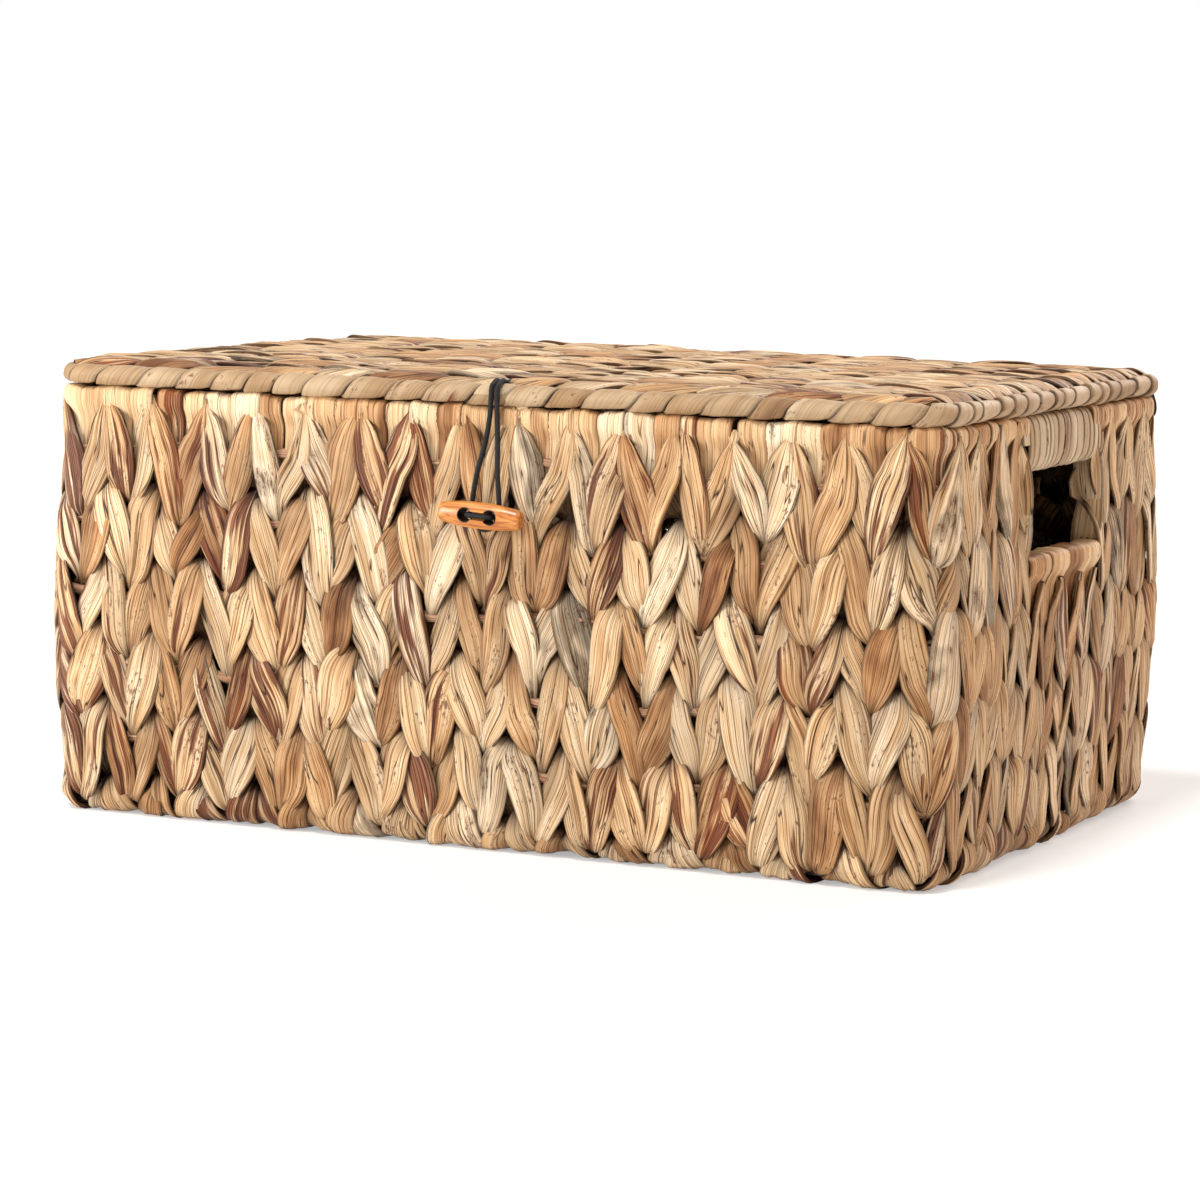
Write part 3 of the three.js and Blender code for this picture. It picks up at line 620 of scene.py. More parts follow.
def twined(centres, handed, rise, leaf, phase, top=math.inf, back_width_share=BACK_WIDTH_SHARE):
    """Two strands for each column, twisted about each other: returns places across, out and up, and looks.

    Each strand lies slantwise over a stake in front, with its middle below the stake, dives at its lower tip,
    and comes back behind the next stake. A leaf is pointed below and blunt above, where it is tucked under.
    Above the phase top the strands keep their side of the wall, so that a front leaf runs out in a tip over
    the folded ends at the rim.
    """
    pairs = len(centres)
    count = 2 * pairs

    def wandering(spread, knots):
        """A slow random change along each column, alike for its two strands."""
        drawn = rng.uniform(-spread, spread, (pairs, knots))
        places = np.linspace(phase[0], phase[-1], knots)
        return np.repeat([np.interp(phase, places, row) for row in drawn], 2, axis=0)

    climbed = phase + wandering(SLIP, 9)
    past_top = np.maximum(climbed - top, 0)
    own = climbed + np.tile([0, 1], pairs)[:, None] + LEAF_DROP - TOP_STRETCH * past_top
    centre = np.repeat(centres, 2)[:, None]
    hand = np.repeat(handed, 2)[:, None]
    height = np.repeat(rise, 2, axis=0)
    turn = own - 2 * np.rint(own / 2)
    past = np.abs(turn)
    in_front = past < FRONT_SHARE
    middle = 2 * np.rint(own / 2) + np.where(in_front, 0, np.sign(turn))
    first = math.floor(own.min()) - 2
    leaves = math.ceil(own.max()) - first + 3
    index = (middle - first).astype(int)
    away = np.where(in_front, past / FRONT_SHARE, (1 - past) / (1 - FRONT_SHARE))
    bluntness = np.where(in_front, np.where((turn > 0) & (past_top == 0), 3.0, 2), 8)
    near = np.clip(1 - away ** bluntness, 0, 1)

    def each_leaf(low, high):
        return np.take_along_axis(rng.uniform(low, high, (count, leaves)), index, axis=1)

    def half_turns(share, turns):
        """Half turns of the twist from the middle of a front leaf; the front takes twice the share."""
        gone = np.abs(turns - 2 * np.rint(turns / 2))
        return np.where(gone < share, gone / share / 2, 1 - (1 - gone) / (1 - share) / 2)

    run = np.sign(turn) * np.arcsin(STRAIGHTNESS * np.sin(np.pi * half_turns(FRONT_SHARE, own)))
    run = run / math.asin(STRAIGHTNESS)
    swing = leaf.sway * rng.uniform(0.7, 1.15, (count, 1))
    lean = each_leaf(-LEAF_TURN, LEAF_TURN) * np.sin(np.pi * run) * 2
    across = centre + hand * swing * run + each_leaf(-COLUMN_WANDER, COLUMN_WANDER) * near + lean
    across = across + wandering(COLUMN_WANDER, 5)
    facing = np.cos(np.pi * half_turns(DIVE_SHARE, own - (1 - TOP_STRETCH) * past_top + SHINGLE))
    out = leaf.depth * np.tanh(DIVE * facing) / math.tanh(DIVE) + each_leaf(-LEAF_SINK, LEAF_RISE) * near
    out = out + TIP_LIFT * np.clip(past_top / TIP_LIFT_RUN, 0, 1) * np.sign(facing)
    full = leaf.width * each_leaf(*LEAF_WIDTH_SHARES) * np.where(in_front, 1, back_width_share)
    width = leaf.waist + (full - leaf.waist) * near
    width = width * np.sqrt(np.clip((phase[-1] - phase) / TIP_SHARE, 0.01, 1))
    roll = -hand * LEAF_ROLL * run + each_leaf(-LEAF_TILT, LEAF_TILT) * near
    slant = np.arctan2(np.gradient(across, axis=1), np.gradient(height, axis=1))
    slant = np.clip(slant, -STEEPEST_SLANT, STEEPEST_SLANT)

    def each_strand(low, high):
        return rng.uniform(low, high, (count, 1, 1))

    share, face = section()
    wide = width[..., None] * (share - 0.5)
    crown = np.where(face > 0, leaf.crown, leaf.belly) * face
    depth = crown * (0.85 + 0.45 * (1 - near)[..., None])
    fold_count = each_strand(1.1, 1.9)
    fine_count = each_strand(2.4, 3.3)
    drift = own[..., None] * each_strand(-0.25, 0.25)
    start = each_strand(0, 1)
    folds = BROAD_FOLD * np.cos(2 * np.pi * (fold_count * share + start + drift))
    folds = folds + FINE_FOLD * np.cos(2 * np.pi * (fine_count * share + 3 * start - drift))
    split = each_strand(0.25, 0.75) + 0.5 * drift
    notch = np.exp(-((share - split) / SPLIT_WIDTH_SHARE) ** 2)
    notch = rng.choice([0, 0, SPLIT_DEPTH], (count, 1, 1)) * notch
    depth = depth + (folds - notch) * np.maximum(face, 0) ** 0.5
    cos_roll, sin_roll = np.cos(roll)[..., None], np.sin(roll)[..., None]
    side = wide * cos_roll - depth * sin_roll
    lift = wide * sin_roll + depth * cos_roll
    places = (
        across[..., None] + side * np.cos(slant)[..., None],
        out[..., None] + lift,
        height[..., None] - side * np.sin(slant)[..., None],
    )

    tone, rust = leaf_looks(count, RUSTY_SHARE / 2)
    own_tone, own_rust = leaf_looks(count, RUSTY_SHARE, leaves)
    tone = (0.3 * tone + 0.7 * np.take_along_axis(own_tone, index, axis=1))[..., None]
    rust = np.maximum(rust, np.take_along_axis(own_rust, index, axis=1))[..., None]
    seed = each_strand(0, SEEDS)
    # Painted shade: darker where a strand lies deep in the wall, and on the upper end of a front leaf that
    # goes under the row above
    tucked_shade = TUCKED_SHADE_SHARE * np.clip((turn / FRONT_SHARE - 0.5) / 0.5, 0, 1) * (past_top == 0)
    painted_shade = np.clip(np.maximum(1.15 - np.abs(places[1]) / PAINTED_SHADE_REACH, tucked_shade[..., None]), 0, 1)
    strip = paired(share, height[..., None])
    return places, strip, (tone, rust, seed, painted_shade)


def column_places():
    """Where each column of the body stands: its piece's name, its places along the wall and its hands."""
    core_x = BODY_WIDTH - 2 * BODY_CORNER
    core_y = BODY_DEPTH - 2 * BODY_CORNER
    arc = math.pi / 2 * BODY_CORNER
    runs = [
        ("front", core_x, FRONT_COLUMNS), ("front_right_corner", arc, CORNER_COLUMNS),
        ("right", core_y, SIDE_COLUMNS), ("back_right_corner", arc, CORNER_COLUMNS),
        ("back", core_x, FRONT_COLUMNS), ("back_left_corner", arc, CORNER_COLUMNS),
        ("left", core_y, SIDE_COLUMNS), ("front_left_corner", arc, CORNER_COLUMNS),
    ]
    start = -core_x / 2
    number = 0
    places = {}
    for name, length, count in runs:
        centres = start + length * (np.arange(count) + 0.5) / count
        hands = np.where((np.arange(count) + number) % 2 == 0, 1, -1)
        places[name] = (centres, hands)
        start += length
        number += count
    return places


PHASE_FOOT = -1.5
PHASE_RIM = 4.68
PHASE_JAMB = 4.4
PHASE_SILL = 2.6
TOP_STAKE = 4
SILL_STAKE = 2
columns = column_places()


def phases(low, high):
    return np.linspace(low, high, int((high - low) * STATIONS_PER_LEAF) + 1)


def wall_weave(name):
    """Twined strands of one wall or corner; under a handle opening they stop at its sill."""
    centres, hands = columns[name]
    groups = [("", np.ones(len(centres), bool), PHASE_RIM, TOP_STAKE, BACK_WIDTH_SHARE)]
    if name in ("left", "right"):
        beside = np.abs(centres - centres.mean())
        cut = beside < HANDLE_WIDTH / 2
        jamb = ~cut & (beside < HANDLE_WRAP_WIDTH / 2)
        groups = [
            ("", ~cut & ~jamb, PHASE_RIM, TOP_STAKE, BACK_WIDTH_SHARE),
            ("_jambs", jamb, PHASE_JAMB, TOP_STAKE, JAMB_WIDTH_SHARE),
            ("_sill", cut, PHASE_SILL, SILL_STAKE, BACK_WIDTH_SHARE),
        ]
    for suffix, chosen, last_phase, top, back_width_share in groups:
        phase = phases(PHASE_FOOT, last_phase)
        rise = rise_at(centres[chosen], phase)
        places, strip, looks = twined(
            centres[chosen], hands[chosen], rise, WALL_LEAF, phase, top, back_width_share
        )
        mesh = grid_mesh(f"{name}_twining", on_wall(*places), strip, looks)
        replaced = () if suffix else (f"{name}_weave",)
        link(f"{name}_twining{suffix}", mesh, twined_leaf, "box_body", "leaf_weave", *replaced)


for wall in columns:
    wall_weave(wall)


# Leaf ends folded over the rim and over the sill of each handle opening

FOLD_STATIONS = 30
TUCK_RUN = 4.5 * MM
TUCK_DEPTH = 3.6 * MM
FOLD_TILT = 0.13
SHOULDER_SQUARENESS = 0.5
FOLD_WIDTH = 13 * MM
FOLD_WIDTH_SHARES = (0.85, 1.2)
FOLD_THICKNESS = 0.8 * MM
FOLD_INSET = 0.9 * MM
FOLD_STAGGER = 0.4 * MM
FOLD_UNEVENNESS = 0.3 * MM
FOLD_RIDGE = 0.25 * MM
FOLD_TONE_SHARE = 0.8
FOLD_RUSTY_SHARE = 0.12
FOLD_WANDER = 1.3 * MM
RIM_RISE = 0.6 * MM
RIM_TOP = BODY_HEIGHT + RIM_RISE
RIM_OUTER_RUN = 23 * MM
RIM_INNER_RUN = 12 * MM
SILL_OUTER_RUN = 24 * MM
SILL_INNER_RUN = 14 * MM


def folded_ends(name, centres, valleys, top, outer_run, inner_run):
    """Leaf ends that come up inside, turn over an edge and narrow to a tip as they run down under leaves.

    Each end leans towards its valley, where two twined leaves part.
    """
    count = len(centres)
    bend = HALF_WALL
    outer = outer_run * rng.uniform(0.82, 1.15, (count, 1))
    total = outer + math.pi * bend + inner_run
    travel = total * np.linspace(0, 1, FOLD_STATIONS)
    turn = np.clip((travel - outer) / bend, 0, math.pi)
    down_outside = np.maximum(outer - travel, 0)
    down_inside = np.maximum(travel - outer - math.pi * bend, 0)
    tuck = TUCK_DEPTH * (1 - np.exp(-((down_outside / TUCK_RUN) ** 2)))
    reach = bend - FOLD_INSET + rng.uniform(-1, 1, (count, 1)) * FOLD_STAGGER
    lean = (valleys - centres)[:, None] * 0.4 * down_outside / outer_run
    share, face = section()
    taper = 1 - 0.5 * np.clip(down_outside / outer_run, 0, 1) ** 1.3
    wide = (FOLD_WIDTH * rng.uniform(*FOLD_WIDTH_SHARES, (count, 1)) * taper)[..., None] * (share - 0.5)
    fold_count = rng.uniform(1.0, 2.2, (count, 1, 1))
    start = rng.random((count, 1, 1))
    folds = FOLD_RIDGE * np.cos(2 * np.pi * (fold_count * share + start)) * np.maximum(face, 0) ** 0.5
    tilt = np.where(np.arange(count) % 2 == 0, 1, -1) * rng.uniform(0.2, 1, count) * FOLD_TILT
    depth = FOLD_THICKNESS * face + folds + rng.uniform(-1, 1, (count, 1, 1)) * FOLD_UNEVENNESS
    depth = depth + tilt[:, None, None] * wide
    radial = reach[..., None] + depth - tuck[..., None]
    centre_height = top - bend
    out = radial * squared(np.cos(turn), SHOULDER_SQUARENESS)[..., None]
    height = centre_height + radial * (np.sin(turn) ** SHOULDER_SQUARENESS)[..., None]
    height = height - (down_outside + down_inside)[..., None]
    along = centres[:, None, None] + lean[..., None] + wide
    points = on_body(along, out, height, np.minimum(height, centre_height))
    tone, rust = leaf_looks(count, FOLD_RUSTY_SHARE)
    tone = tone * FOLD_TONE_SHARE
    # Painted shade: the end darkens as it runs down under the twined leaves
    painted_shade = np.clip(down_outside / outer_run, 0, 1)[..., None] ** 2 * 0.7
    looks = (tone[..., None], rust[..., None], rng.uniform(0, SEEDS, (count, 1, 1)), painted_shade)
    mesh = grid_mesh(name, points, paired(share, travel[..., None]), looks)
    link(name, mesh, folded_leaf, "box_body", "leaf_weave")


def fold_places(centres, hands, pitch):
    """One broad leaf end for every column: its place, and the valley that it leans towards."""
    valleys = np.where(hands > 0, centres - pitch / 2, centres + pitch / 2)
    return centres + rng.uniform(-FOLD_WANDER, FOLD_WANDER, len(centres)), valleys


def edge_folds():
    """The folded ends over the rim, and those over the sill of each handle opening."""
    pitch = np.diff(columns["front"][0]).mean()
    for name, (centres, hands) in columns.items():
        kept = np.ones(len(centres), bool)
        if name in ("left", "right"):
            kept = np.abs(centres - centres.mean()) > (HANDLE_WRAP_WIDTH - pitch) / 2
        places, valleys = fold_places(centres[kept], hands[kept], pitch)
        folded_ends(f"{name}_rim_folds", places, valleys, RIM_TOP, RIM_OUTER_RUN, RIM_INNER_RUN)
    for name in ("left", "right"):
        centres, hands = columns[name]
        kept = np.abs(centres - centres.mean()) < HANDLE_WIDTH / 2
        places, valleys = fold_places(centres[kept], hands[kept], np.diff(centres).mean())
        inside = np.abs(places - centres.mean()) < HANDLE_WIDTH / 2
        places, valleys = places[inside], valleys[inside]
        folded_ends(f"{name}_sill_folds", places, valleys, HANDLE_SILL, SILL_OUTER_RUN, SILL_INNER_RUN)


edge_folds()


# Stakes

STAKE_RADIUS = 2.1 * MM
STAKE_RIBS = 6
STAKE_RIB_SHARE = 0.16
STAKE_SIDES = 18
STAKE_STEP = 2.4 * MM
STAKE_OUT = 0.5 * MM
STAKE_TWIST_RUN = 60 * MM
STAKE_END_GAP = 5 * MM


def stake(number, node_name, start, end):
    """A ribbed rush stake along the wall, waving a little as the twining pulls it."""
    along = np.linspace(start, end, int((end - start) / STAKE_STEP))[:, None]
    around = np.linspace(0, 2 * math.pi, STAKE_SIDES, endpoint=False)
    ribs = np.abs(np.cos(STAKE_RIBS / 2 * around + along / STAKE_TWIST_RUN))
    radius = STAKE_RADIUS * (1 + STAKE_RIB_SHARE * (ribs - 0.5))
    out = STAKE_OUT + radius * np.cos(around)
    rise = stake_heights[number] + stake_wave(along, number) + radius * np.sin(around)
    points = on_wall(np.broadcast_to(along, out.shape), out, rise)
    strip = paired(np.mod(around / (2 * math.pi) + 0.5, 1), along)
    mesh = grid_mesh(node_name, points[None], strip[None], (0.5, 0.15, float(number)))
    link(f"{node_name}_rush", mesh, stake_material, "box_body", "stake", node_name)


def stakes():
    half_round = BODY_ROUND / 2
    reach = half_round / 2 - HANDLE_WIDTH / 2 - STAKE_END_GAP
    for number in range(3):
        stake(number, f"stake_ring_{number + 1}", 0, BODY_ROUND)
    for number in (3, 4):
        stake(number, f"front_stake_{number + 1}", -reach, reach)
        stake(number, f"back_stake_{number + 1}", half_round - reach, half_round + reach)


stakes()


# Strips wound round the lid border and round the bar over each handle opening

# Across a wound strip from its seam: the places of its points, how high they lie and how much painted shade
# they get at the seams
WOUND_SHARES = np.array([0, 0, 0.03, 0.1, 0.26, 0.46, 0.66, 0.79, 0.86, 1])
WOUND_RISE_SHARES = np.array([-0.6, 0.6, 0.9, 1, 1, 0.88, 0.6, 0.3, 0.05, -0.1])
WOUND_SHADE_SHARES = np.array([1, 0.6, 0.1, 0, 0, 0, 0, 0.15, 1, 1])
WOUND_STEPS = 18
WOUND_PUCKER = 0.1 * MM
WOUND_TURN_RUN = 30 * MM


def wound_strip(turns, length, overlap, lift, unevenness, seam_shade_share, painted_light_paleness):
    """One leaf strip wound round a bar: its place along the bar, its angle, its lift and its looks."""
    widths = rng.uniform(1 - unevenness, 1 + unevenness, turns + 2)
    edges = np.concatenate([[0], np.cumsum(widths)])
    edges = edges * length / edges[turns]
    turn = np.linspace(0, turns, turns * WOUND_STEPS + 1)
    start = np.interp(turn, np.arange(turns + 3), edges)
    end = np.interp(turn + 1, np.arange(turns + 3), edges)
    span = (end - start) * (1 + overlap)
    along = start[:, None] + span[:, None] * WOUND_SHARES
    angle = np.broadcast_to(2 * np.pi * turn[:, None], along.shape)
    bulge = rng.uniform(0.6, 1.3, turns + 1)[np.minimum(turn.astype(int), turns)][:, None]
    pucker = WOUND_PUCKER * np.cos(2 * np.pi * (WOUND_SHARES * 3.3 + turn[:, None] * 0.37))
    raised = lift * WOUND_RISE_SHARES * bulge + pucker * (WOUND_RISE_SHARES > 0)

    def turn_by_turn(values):
        return np.interp(turn, np.arange(turns + 1), values)

    # The paleness given lifts the tone of the whole strip: painted light for a strip that lies in shade
    tone = turn_by_turn(painted_light_paleness + rng.beta(3, 2, turns + 1) * 0.85)
    rust = turn_by_turn(rng.random(turns + 1) ** 3 * 0.45)
    seed = rng.uniform(0, SEEDS)
    # Painted shade along the seams, where each turn steps over the last, stronger on some turns than others
    seam = turn_by_turn(rng.uniform(0.4, 1.1, turns + 1)) * seam_shade_share
    painted_shade = np.clip(WOUND_SHADE_SHARES * seam[:, None], 0, 1)[None]
    strip = paired(WOUND_SHARES, (turn * WOUND_TURN_RUN)[:, None])
    return along, angle, raised, strip[None], (tone[None, :, None], rust[None, :, None], seed, painted_shade)


border_low, border_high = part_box("lid_border")
BORDER_RADIUS = (border_high.z - border_low.z) / 2
BORDER_HEIGHT = (border_high.z + border_low.z) / 2
BORDER_HALF_X = border_high.x - BORDER_RADIUS
BORDER_HALF_Y = border_high.y - BORDER_RADIUS
BORDER_CORNER = 15.5 * MM
BORDER_LIFT = 1.1 * MM
BORDER_SWELL = 0.25 * MM
BORDER_SWELL_RUN = 83 * MM


def lid_border():
    knots = ring_knots(BORDER_HALF_X, BORDER_HALF_Y, BORDER_CORNER)
    length = knots[0][-1]
    along, angle, raised, strip, looks = wound_strip(BORDER_TURNS, length, 0.12, BORDER_LIFT, 0.35, 1, 0)
    swell = BORDER_SWELL * np.sin(2 * np.pi * along / BORDER_SWELL_RUN)
    radius = BORDER_RADIUS - BORDER_LIFT + raised + swell
    height = BORDER_HEIGHT + radius * np.sin(angle)
    points = on_ring(knots, BORDER_CORNER, along, radius * np.cos(angle), height)
    mesh = grid_mesh("lid_border", points[None], strip, looks, closed=False)
    link("lid_border_binding", mesh, wound_leaf, "lid", "leaf_wrap", "lid_border")


HANDLE_WRAP_LIFT = 0.8 * MM
HANDLE_WRAP_SKIN = 0.2 * MM
HANDLE_WRAP_GAP = 0.3 * MM
HANDLE_WRAP_SQUARENESS = (0.55, 0.8)


def handle_wrap(name, middle):
    # The handle wrap is painted paler (0.3), painted light for a wrap in shade under the lid border, with
    # weaker painted shade in its seams (0.6)
    along, angle, raised, strip, looks = wound_strip(
        HANDLE_WRAP_TURNS, HANDLE_WRAP_WIDTH, 0.2, HANDLE_WRAP_LIFT, 0.5, 0.6, 0.3
    )
    half_height = (BODY_HEIGHT - HANDLE_TOP) / 2
    end = np.clip(np.abs(along / HANDLE_WRAP_WIDTH - 0.5) * 2, 0, 1)
    shrink = 1 - 0.1 * end ** 6
    flat_cos = squared(np.cos(angle), HANDLE_WRAP_SQUARENESS[0])
    flat_sin = squared(np.sin(angle), HANDLE_WRAP_SQUARENESS[1])
    out = (HALF_WALL - HANDLE_WRAP_SKIN) * flat_cos * shrink + raised * np.cos(angle)
    height = (BODY_HEIGHT + HANDLE_TOP) / 2 + (half_height - HANDLE_WRAP_GAP) * flat_sin * shrink
    height = height + raised * np.sin(angle)
    along = along + HANDLE_WRAP_LEAN * np.sin(angle) * (1 - end ** 2)
    points = on_body(middle - HANDLE_WRAP_WIDTH / 2 + along, out, height, height)
    mesh = grid_mesh(f"{name}_handle_wrap", points[None], strip, looks, closed=False)
    link(f"{name}_handle_binding", mesh, wound_leaf, "box_body", "leaf_wrap", f"{name}_handle_wrap")


JAMB_LEAF_WIDTH = 12.5 * MM
JAMB_TIP_WIDTH = 2 * MM
JAMB_LEAF_THICKNESS = 2.4 * MM
JAMB_LEAF_LENGTH = 30 * MM
JAMB_LEAN = 2 * MM
JAMB_GAP = 1.2 * MM
JAMB_STATIONS = 24


def jamb_leaves(name):
    """Leaves folded upright round the two sides of the handle wire, from under the sill to the bar."""
    low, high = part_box(f"{name}_handle_wire")
    share, face = section()
    along = np.linspace(-1, 1, JAMB_STATIONS)[None, :, None]
    near = np.clip(1 - along ** 2, 0, 1)
    middles = np.array([HANDLE_SILL + JAMB_LEAF_LENGTH / 6, HANDLE_TOP - JAMB_LEAF_LENGTH / 6])
    leans = np.array([JAMB_LEAN, -JAMB_LEAN])[:, None, None]
    for side, wire_y in (("front", low.y), ("back", high.y)):
        inward = -math.copysign(1, wire_y)
        width = JAMB_TIP_WIDTH + (JAMB_LEAF_WIDTH - JAMB_TIP_WIDTH) * near ** 0.6
        x = (low.x + high.x) / 2 + leans * along + width * (share - 0.5)
        y = wire_y + inward * (JAMB_GAP + JAMB_LEAF_THICKNESS * face * (0.5 + 0.5 * near))
        z = middles[:, None, None] + JAMB_LEAF_LENGTH * along * 0.62
        points = np.stack(np.broadcast_arrays(x, y, z), axis=-1)
        tone = rng.uniform(0.45, 0.8, (2, 1, 1))
        # The last value is painted shade: the jamb leaves, inside the handle opening, are painted a little
        # darker all over
        looks = (tone, 0, rng.uniform(0, SEEDS, (2, 1, 1)), 0.2)
        mesh = grid_mesh(f"{name}_{side}_jamb", points, paired(share, z), looks)
        link(f"{name}_{side}_jamb_leaves", mesh, twined_leaf, "box_body", "leaf_weave")


lid_border()
handle_wrap("right", BODY_ROUND / 4)
handle_wrap("left", 3 * BODY_ROUND / 4)
for handle in ("right", "left"):
    jamb_leaves(handle)


# Lid and base panels, twined in rows along the front

PANEL_EDGE_RUN = 10 * MM
PANEL_EDGE_FALL = 2.4 * MM
PANEL_EDGE_THINNING = 0.6
WIRE_WANDER = 1.6 * MM
LID_TUCK = 5 * MM
PANEL_PIECES = 2
PANEL_BACK_WIDTH_SHARE = 1.9


def panel_rows(name, node_name, leaf, tuck, corner, body, face):
    """Rows of twining along X, each running on by tuck past the frame's panel, under what binds its edge.

    No leaf passes the panel's outline, which has rounded corners. face is +1 where the crowns look up and
    -1 where they look down.
    """
    low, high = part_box(node_name)
    half_x = high.x + tuck
    half_y = high.y + tuck
    middle = (low.z + high.z) / 2
    pitch = 2 * half_y / LID_ROWS
    first = -half_x / LID_CROSS_WIRE_PITCH
    phase = phases(first, -first)
    chunks = np.array_split(np.arange(LID_ROWS), PANEL_PIECES)
    for number, chosen in enumerate(chunks):
        centres = -half_y + pitch * (chosen + 0.5)
        hands = np.where(chosen % 2 == 0, 1, -1)
        wires = np.arange(math.floor(first) - 1, math.ceil(-first) + 2)
        shift = rng.uniform(-WIRE_WANDER, WIRE_WANDER, (len(chosen), len(wires)))
        shift[:, np.abs(wires) > -first - 1] = 0
        run = np.array([np.interp(phase, wires, wires * LID_CROSS_WIRE_PITCH + row) for row in shift])
        places, strip, looks = twined(centres, hands, run, leaf, phase, math.inf, PANEL_BACK_WIDTH_SHARE)
        across, out, along = places
        core_x = np.clip(along, corner - half_x, half_x - corner)
        core_y = np.clip(across, corner - half_y, half_y - corner)
        reach = np.maximum(np.hypot(along - core_x, across - core_y), corner)
        along = core_x + (along - core_x) * corner / reach
        across = core_y + (across - core_y) * corner / reach
        edge_x = (np.abs(along) - half_x) / PANEL_EDGE_RUN + 1
        edge_y = (np.abs(across) - half_y) / PANEL_EDGE_RUN + 1
        edge = np.clip(np.maximum(edge_x, edge_y), 0, 1) ** 2
        height = middle + face * (out * (1 - PANEL_EDGE_THINNING * edge) - PANEL_EDGE_FALL * edge)
        points = np.stack([along, across, height], axis=-1)
        mesh = grid_mesh(name, points, strip, looks)
        replaced = (node_name,) if number == 0 else ()
        link(f"{name}_{number + 1}", mesh, twined_leaf, body, "leaf_weave", *replaced)


panel_rows("lid_twining", "lid_weave", LID_LEAF, LID_TUCK, BORDER_CORNER, "lid", 1)
panel_rows("base_twining", "base_weave", BASE_LEAF, 0, BODY_CORNER, "box_body", -1)


# Cords

PATH_STEPS = 6
TIGHT_SHARE = 0.9


def smooth_path(points):
    """A smooth line through given points."""
    points = np.array(points, float)
    before = 2 * points[0] - points[1]
    after = 2 * points[-1] - points[-2]
    knots = np.vstack([before, points, after])
    line = []
    for k in range(1, len(knots) - 2):
        p0, p1, p2, p3 = knots[k - 1:k + 3]
        share = np.linspace(0, 1, PATH_STEPS, endpoint=False)[:, None]
        line.append(0.5 * (
            2 * p1 + (p2 - p0) * share + (2 * p0 - 5 * p1 + 4 * p2 - p3) * share ** 2
            + (3 * p1 - p0 - 3 * p2 + p3) * share ** 3
        ))
    line.append(points[-1:])
    return np.vstack(line)


CORD_SIDES = 12


def cord(name, line, diameter, body, *replaced, closed_ends=True):
    """A round cord along a line, as a piece of the box; its sides run along it without twist."""
    tangents = np.gradient(line, axis=0)
    tangents /= np.linalg.norm(tangents, axis=1)[:, None]
    normal = np.cross(tangents[0], [0.3, 0.2, 1])
    normals = []
    for tangent in tangents:
        normal = normal - tangent * normal.dot(tangent)
        normal /= np.linalg.norm(normal)
        normals.append(normal)
    normals = np.array(normals)
    sides = np.cross(tangents, normals)
    radius = np.full(len(line), diameter / 2)
    if closed_ends:
        radius[[0, -1]] *= 0.3
    around = np.linspace(0, 2 * math.pi, CORD_SIDES, endpoint=False)
    ring = np.cos(around)[None, :, None] * normals[:, None] + np.sin(around)[None, :, None] * sides[:, None]
    points = line[:, None] + ring * radius[:, None, None]
    steps = np.linalg.norm(np.diff(line, axis=0), axis=1)
    travel = np.concatenate([[0], np.cumsum(steps)])
    strip = paired(around / (2 * math.pi), travel[:, None])
    mesh = grid_mesh(name, points[None], strip[None], (0.5, 0.0, 0.0))
    return link(name, mesh, cord_material, body, "black_cord", *replaced)


def middle_of(node_name):
    low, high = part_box(node_name)
    return (low + high) / 2


toggle_middle = middle_of("toggle")
knot_middle = middle_of("loop_knot")

LOOP_HALF_GAP = 1.25 * MM
LOOP_SKIN = 1.05 * MM
LOOP_BENDS = (60, 95, 130, 160)
LOOP_SLANT = -1.6 * MM
LOOP_SLANT_TOP = 170 * MM
LOOP_SLANT_RUN = 40 * MM
# Places of one leg, mm: beside the middle, out (-) from the border's face or the wall's, and above the ground
LEG_UNDER_BORDER = [(1.5, 0, 168), (2.6, -0.4, 158)]
LEG_AT_WALL = [(4.2, -0.6, 147), (5.4, -0.8, 138), (5.6, -0.6, 132), (4.4, -0.6, 127), (0, -0.6, 124.8)]


def closure_loop():
    """The elastic loop: out of the lid, over its border, down the wall and round the toggle's shank."""
    over = BORDER_RADIUS + LOOP_SKIN
    front = -BORDER_HALF_Y
    border_top = BORDER_HEIGHT + BORDER_RADIUS
    leg = [(LOOP_HALF_GAP, knot_middle.y, height) for height in (knot_middle.z, border_top)]
    for angle in np.radians(LOOP_BENDS):
        leg.append((LOOP_HALF_GAP, front + over * math.cos(angle), BORDER_HEIGHT + over * math.sin(angle)))
    hang = front - over
    wall = -BODY_DEPTH / 2 - WALL_BOW * 0.8 - CORD / 2
    for face, route in ((hang, LEG_UNDER_BORDER), (wall, LEG_AT_WALL)):
        leg += [(x * MM, face + y * MM, z * MM) for x, y, z in route]
    both = leg + [(-x, y, z) for x, y, z in reversed(leg[:-1])]
    points = [
        (CLOSURE_X + x + LOOP_SLANT * min(max((LOOP_SLANT_TOP - z) / LOOP_SLANT_RUN, 0), 1), y, z)
        for x, y, z in both
    ]
    piece = cord("elastic_closure_loop", smooth_path(points), CORD, None, "closure_loop")
    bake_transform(piece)


closure_loop()


def knot(name, centre, size, body, *replaced):
    """An overhand knot pulled tight in a cord, which gets a little thinner in it."""
    diameter = CORD * TIGHT_SHARE
    turn = np.linspace(0, 2 * math.pi, 60)
    line = np.stack([
        np.sin(turn) + 2 * np.sin(2 * turn), np.cos(turn) - 2 * np.cos(2 * turn), -np.sin(3 * turn)
    ], axis=-1) * (size / 2 - diameter / 2) / 3
    cord(name, line + np.array(centre), diameter, body, *replaced, closed_ends=False)


knot_low, knot_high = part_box("loop_knot")
knot("loop_end_knot", knot_middle, knot_high.x - knot_low.x, "lid", "loop_knot")


# Toggle

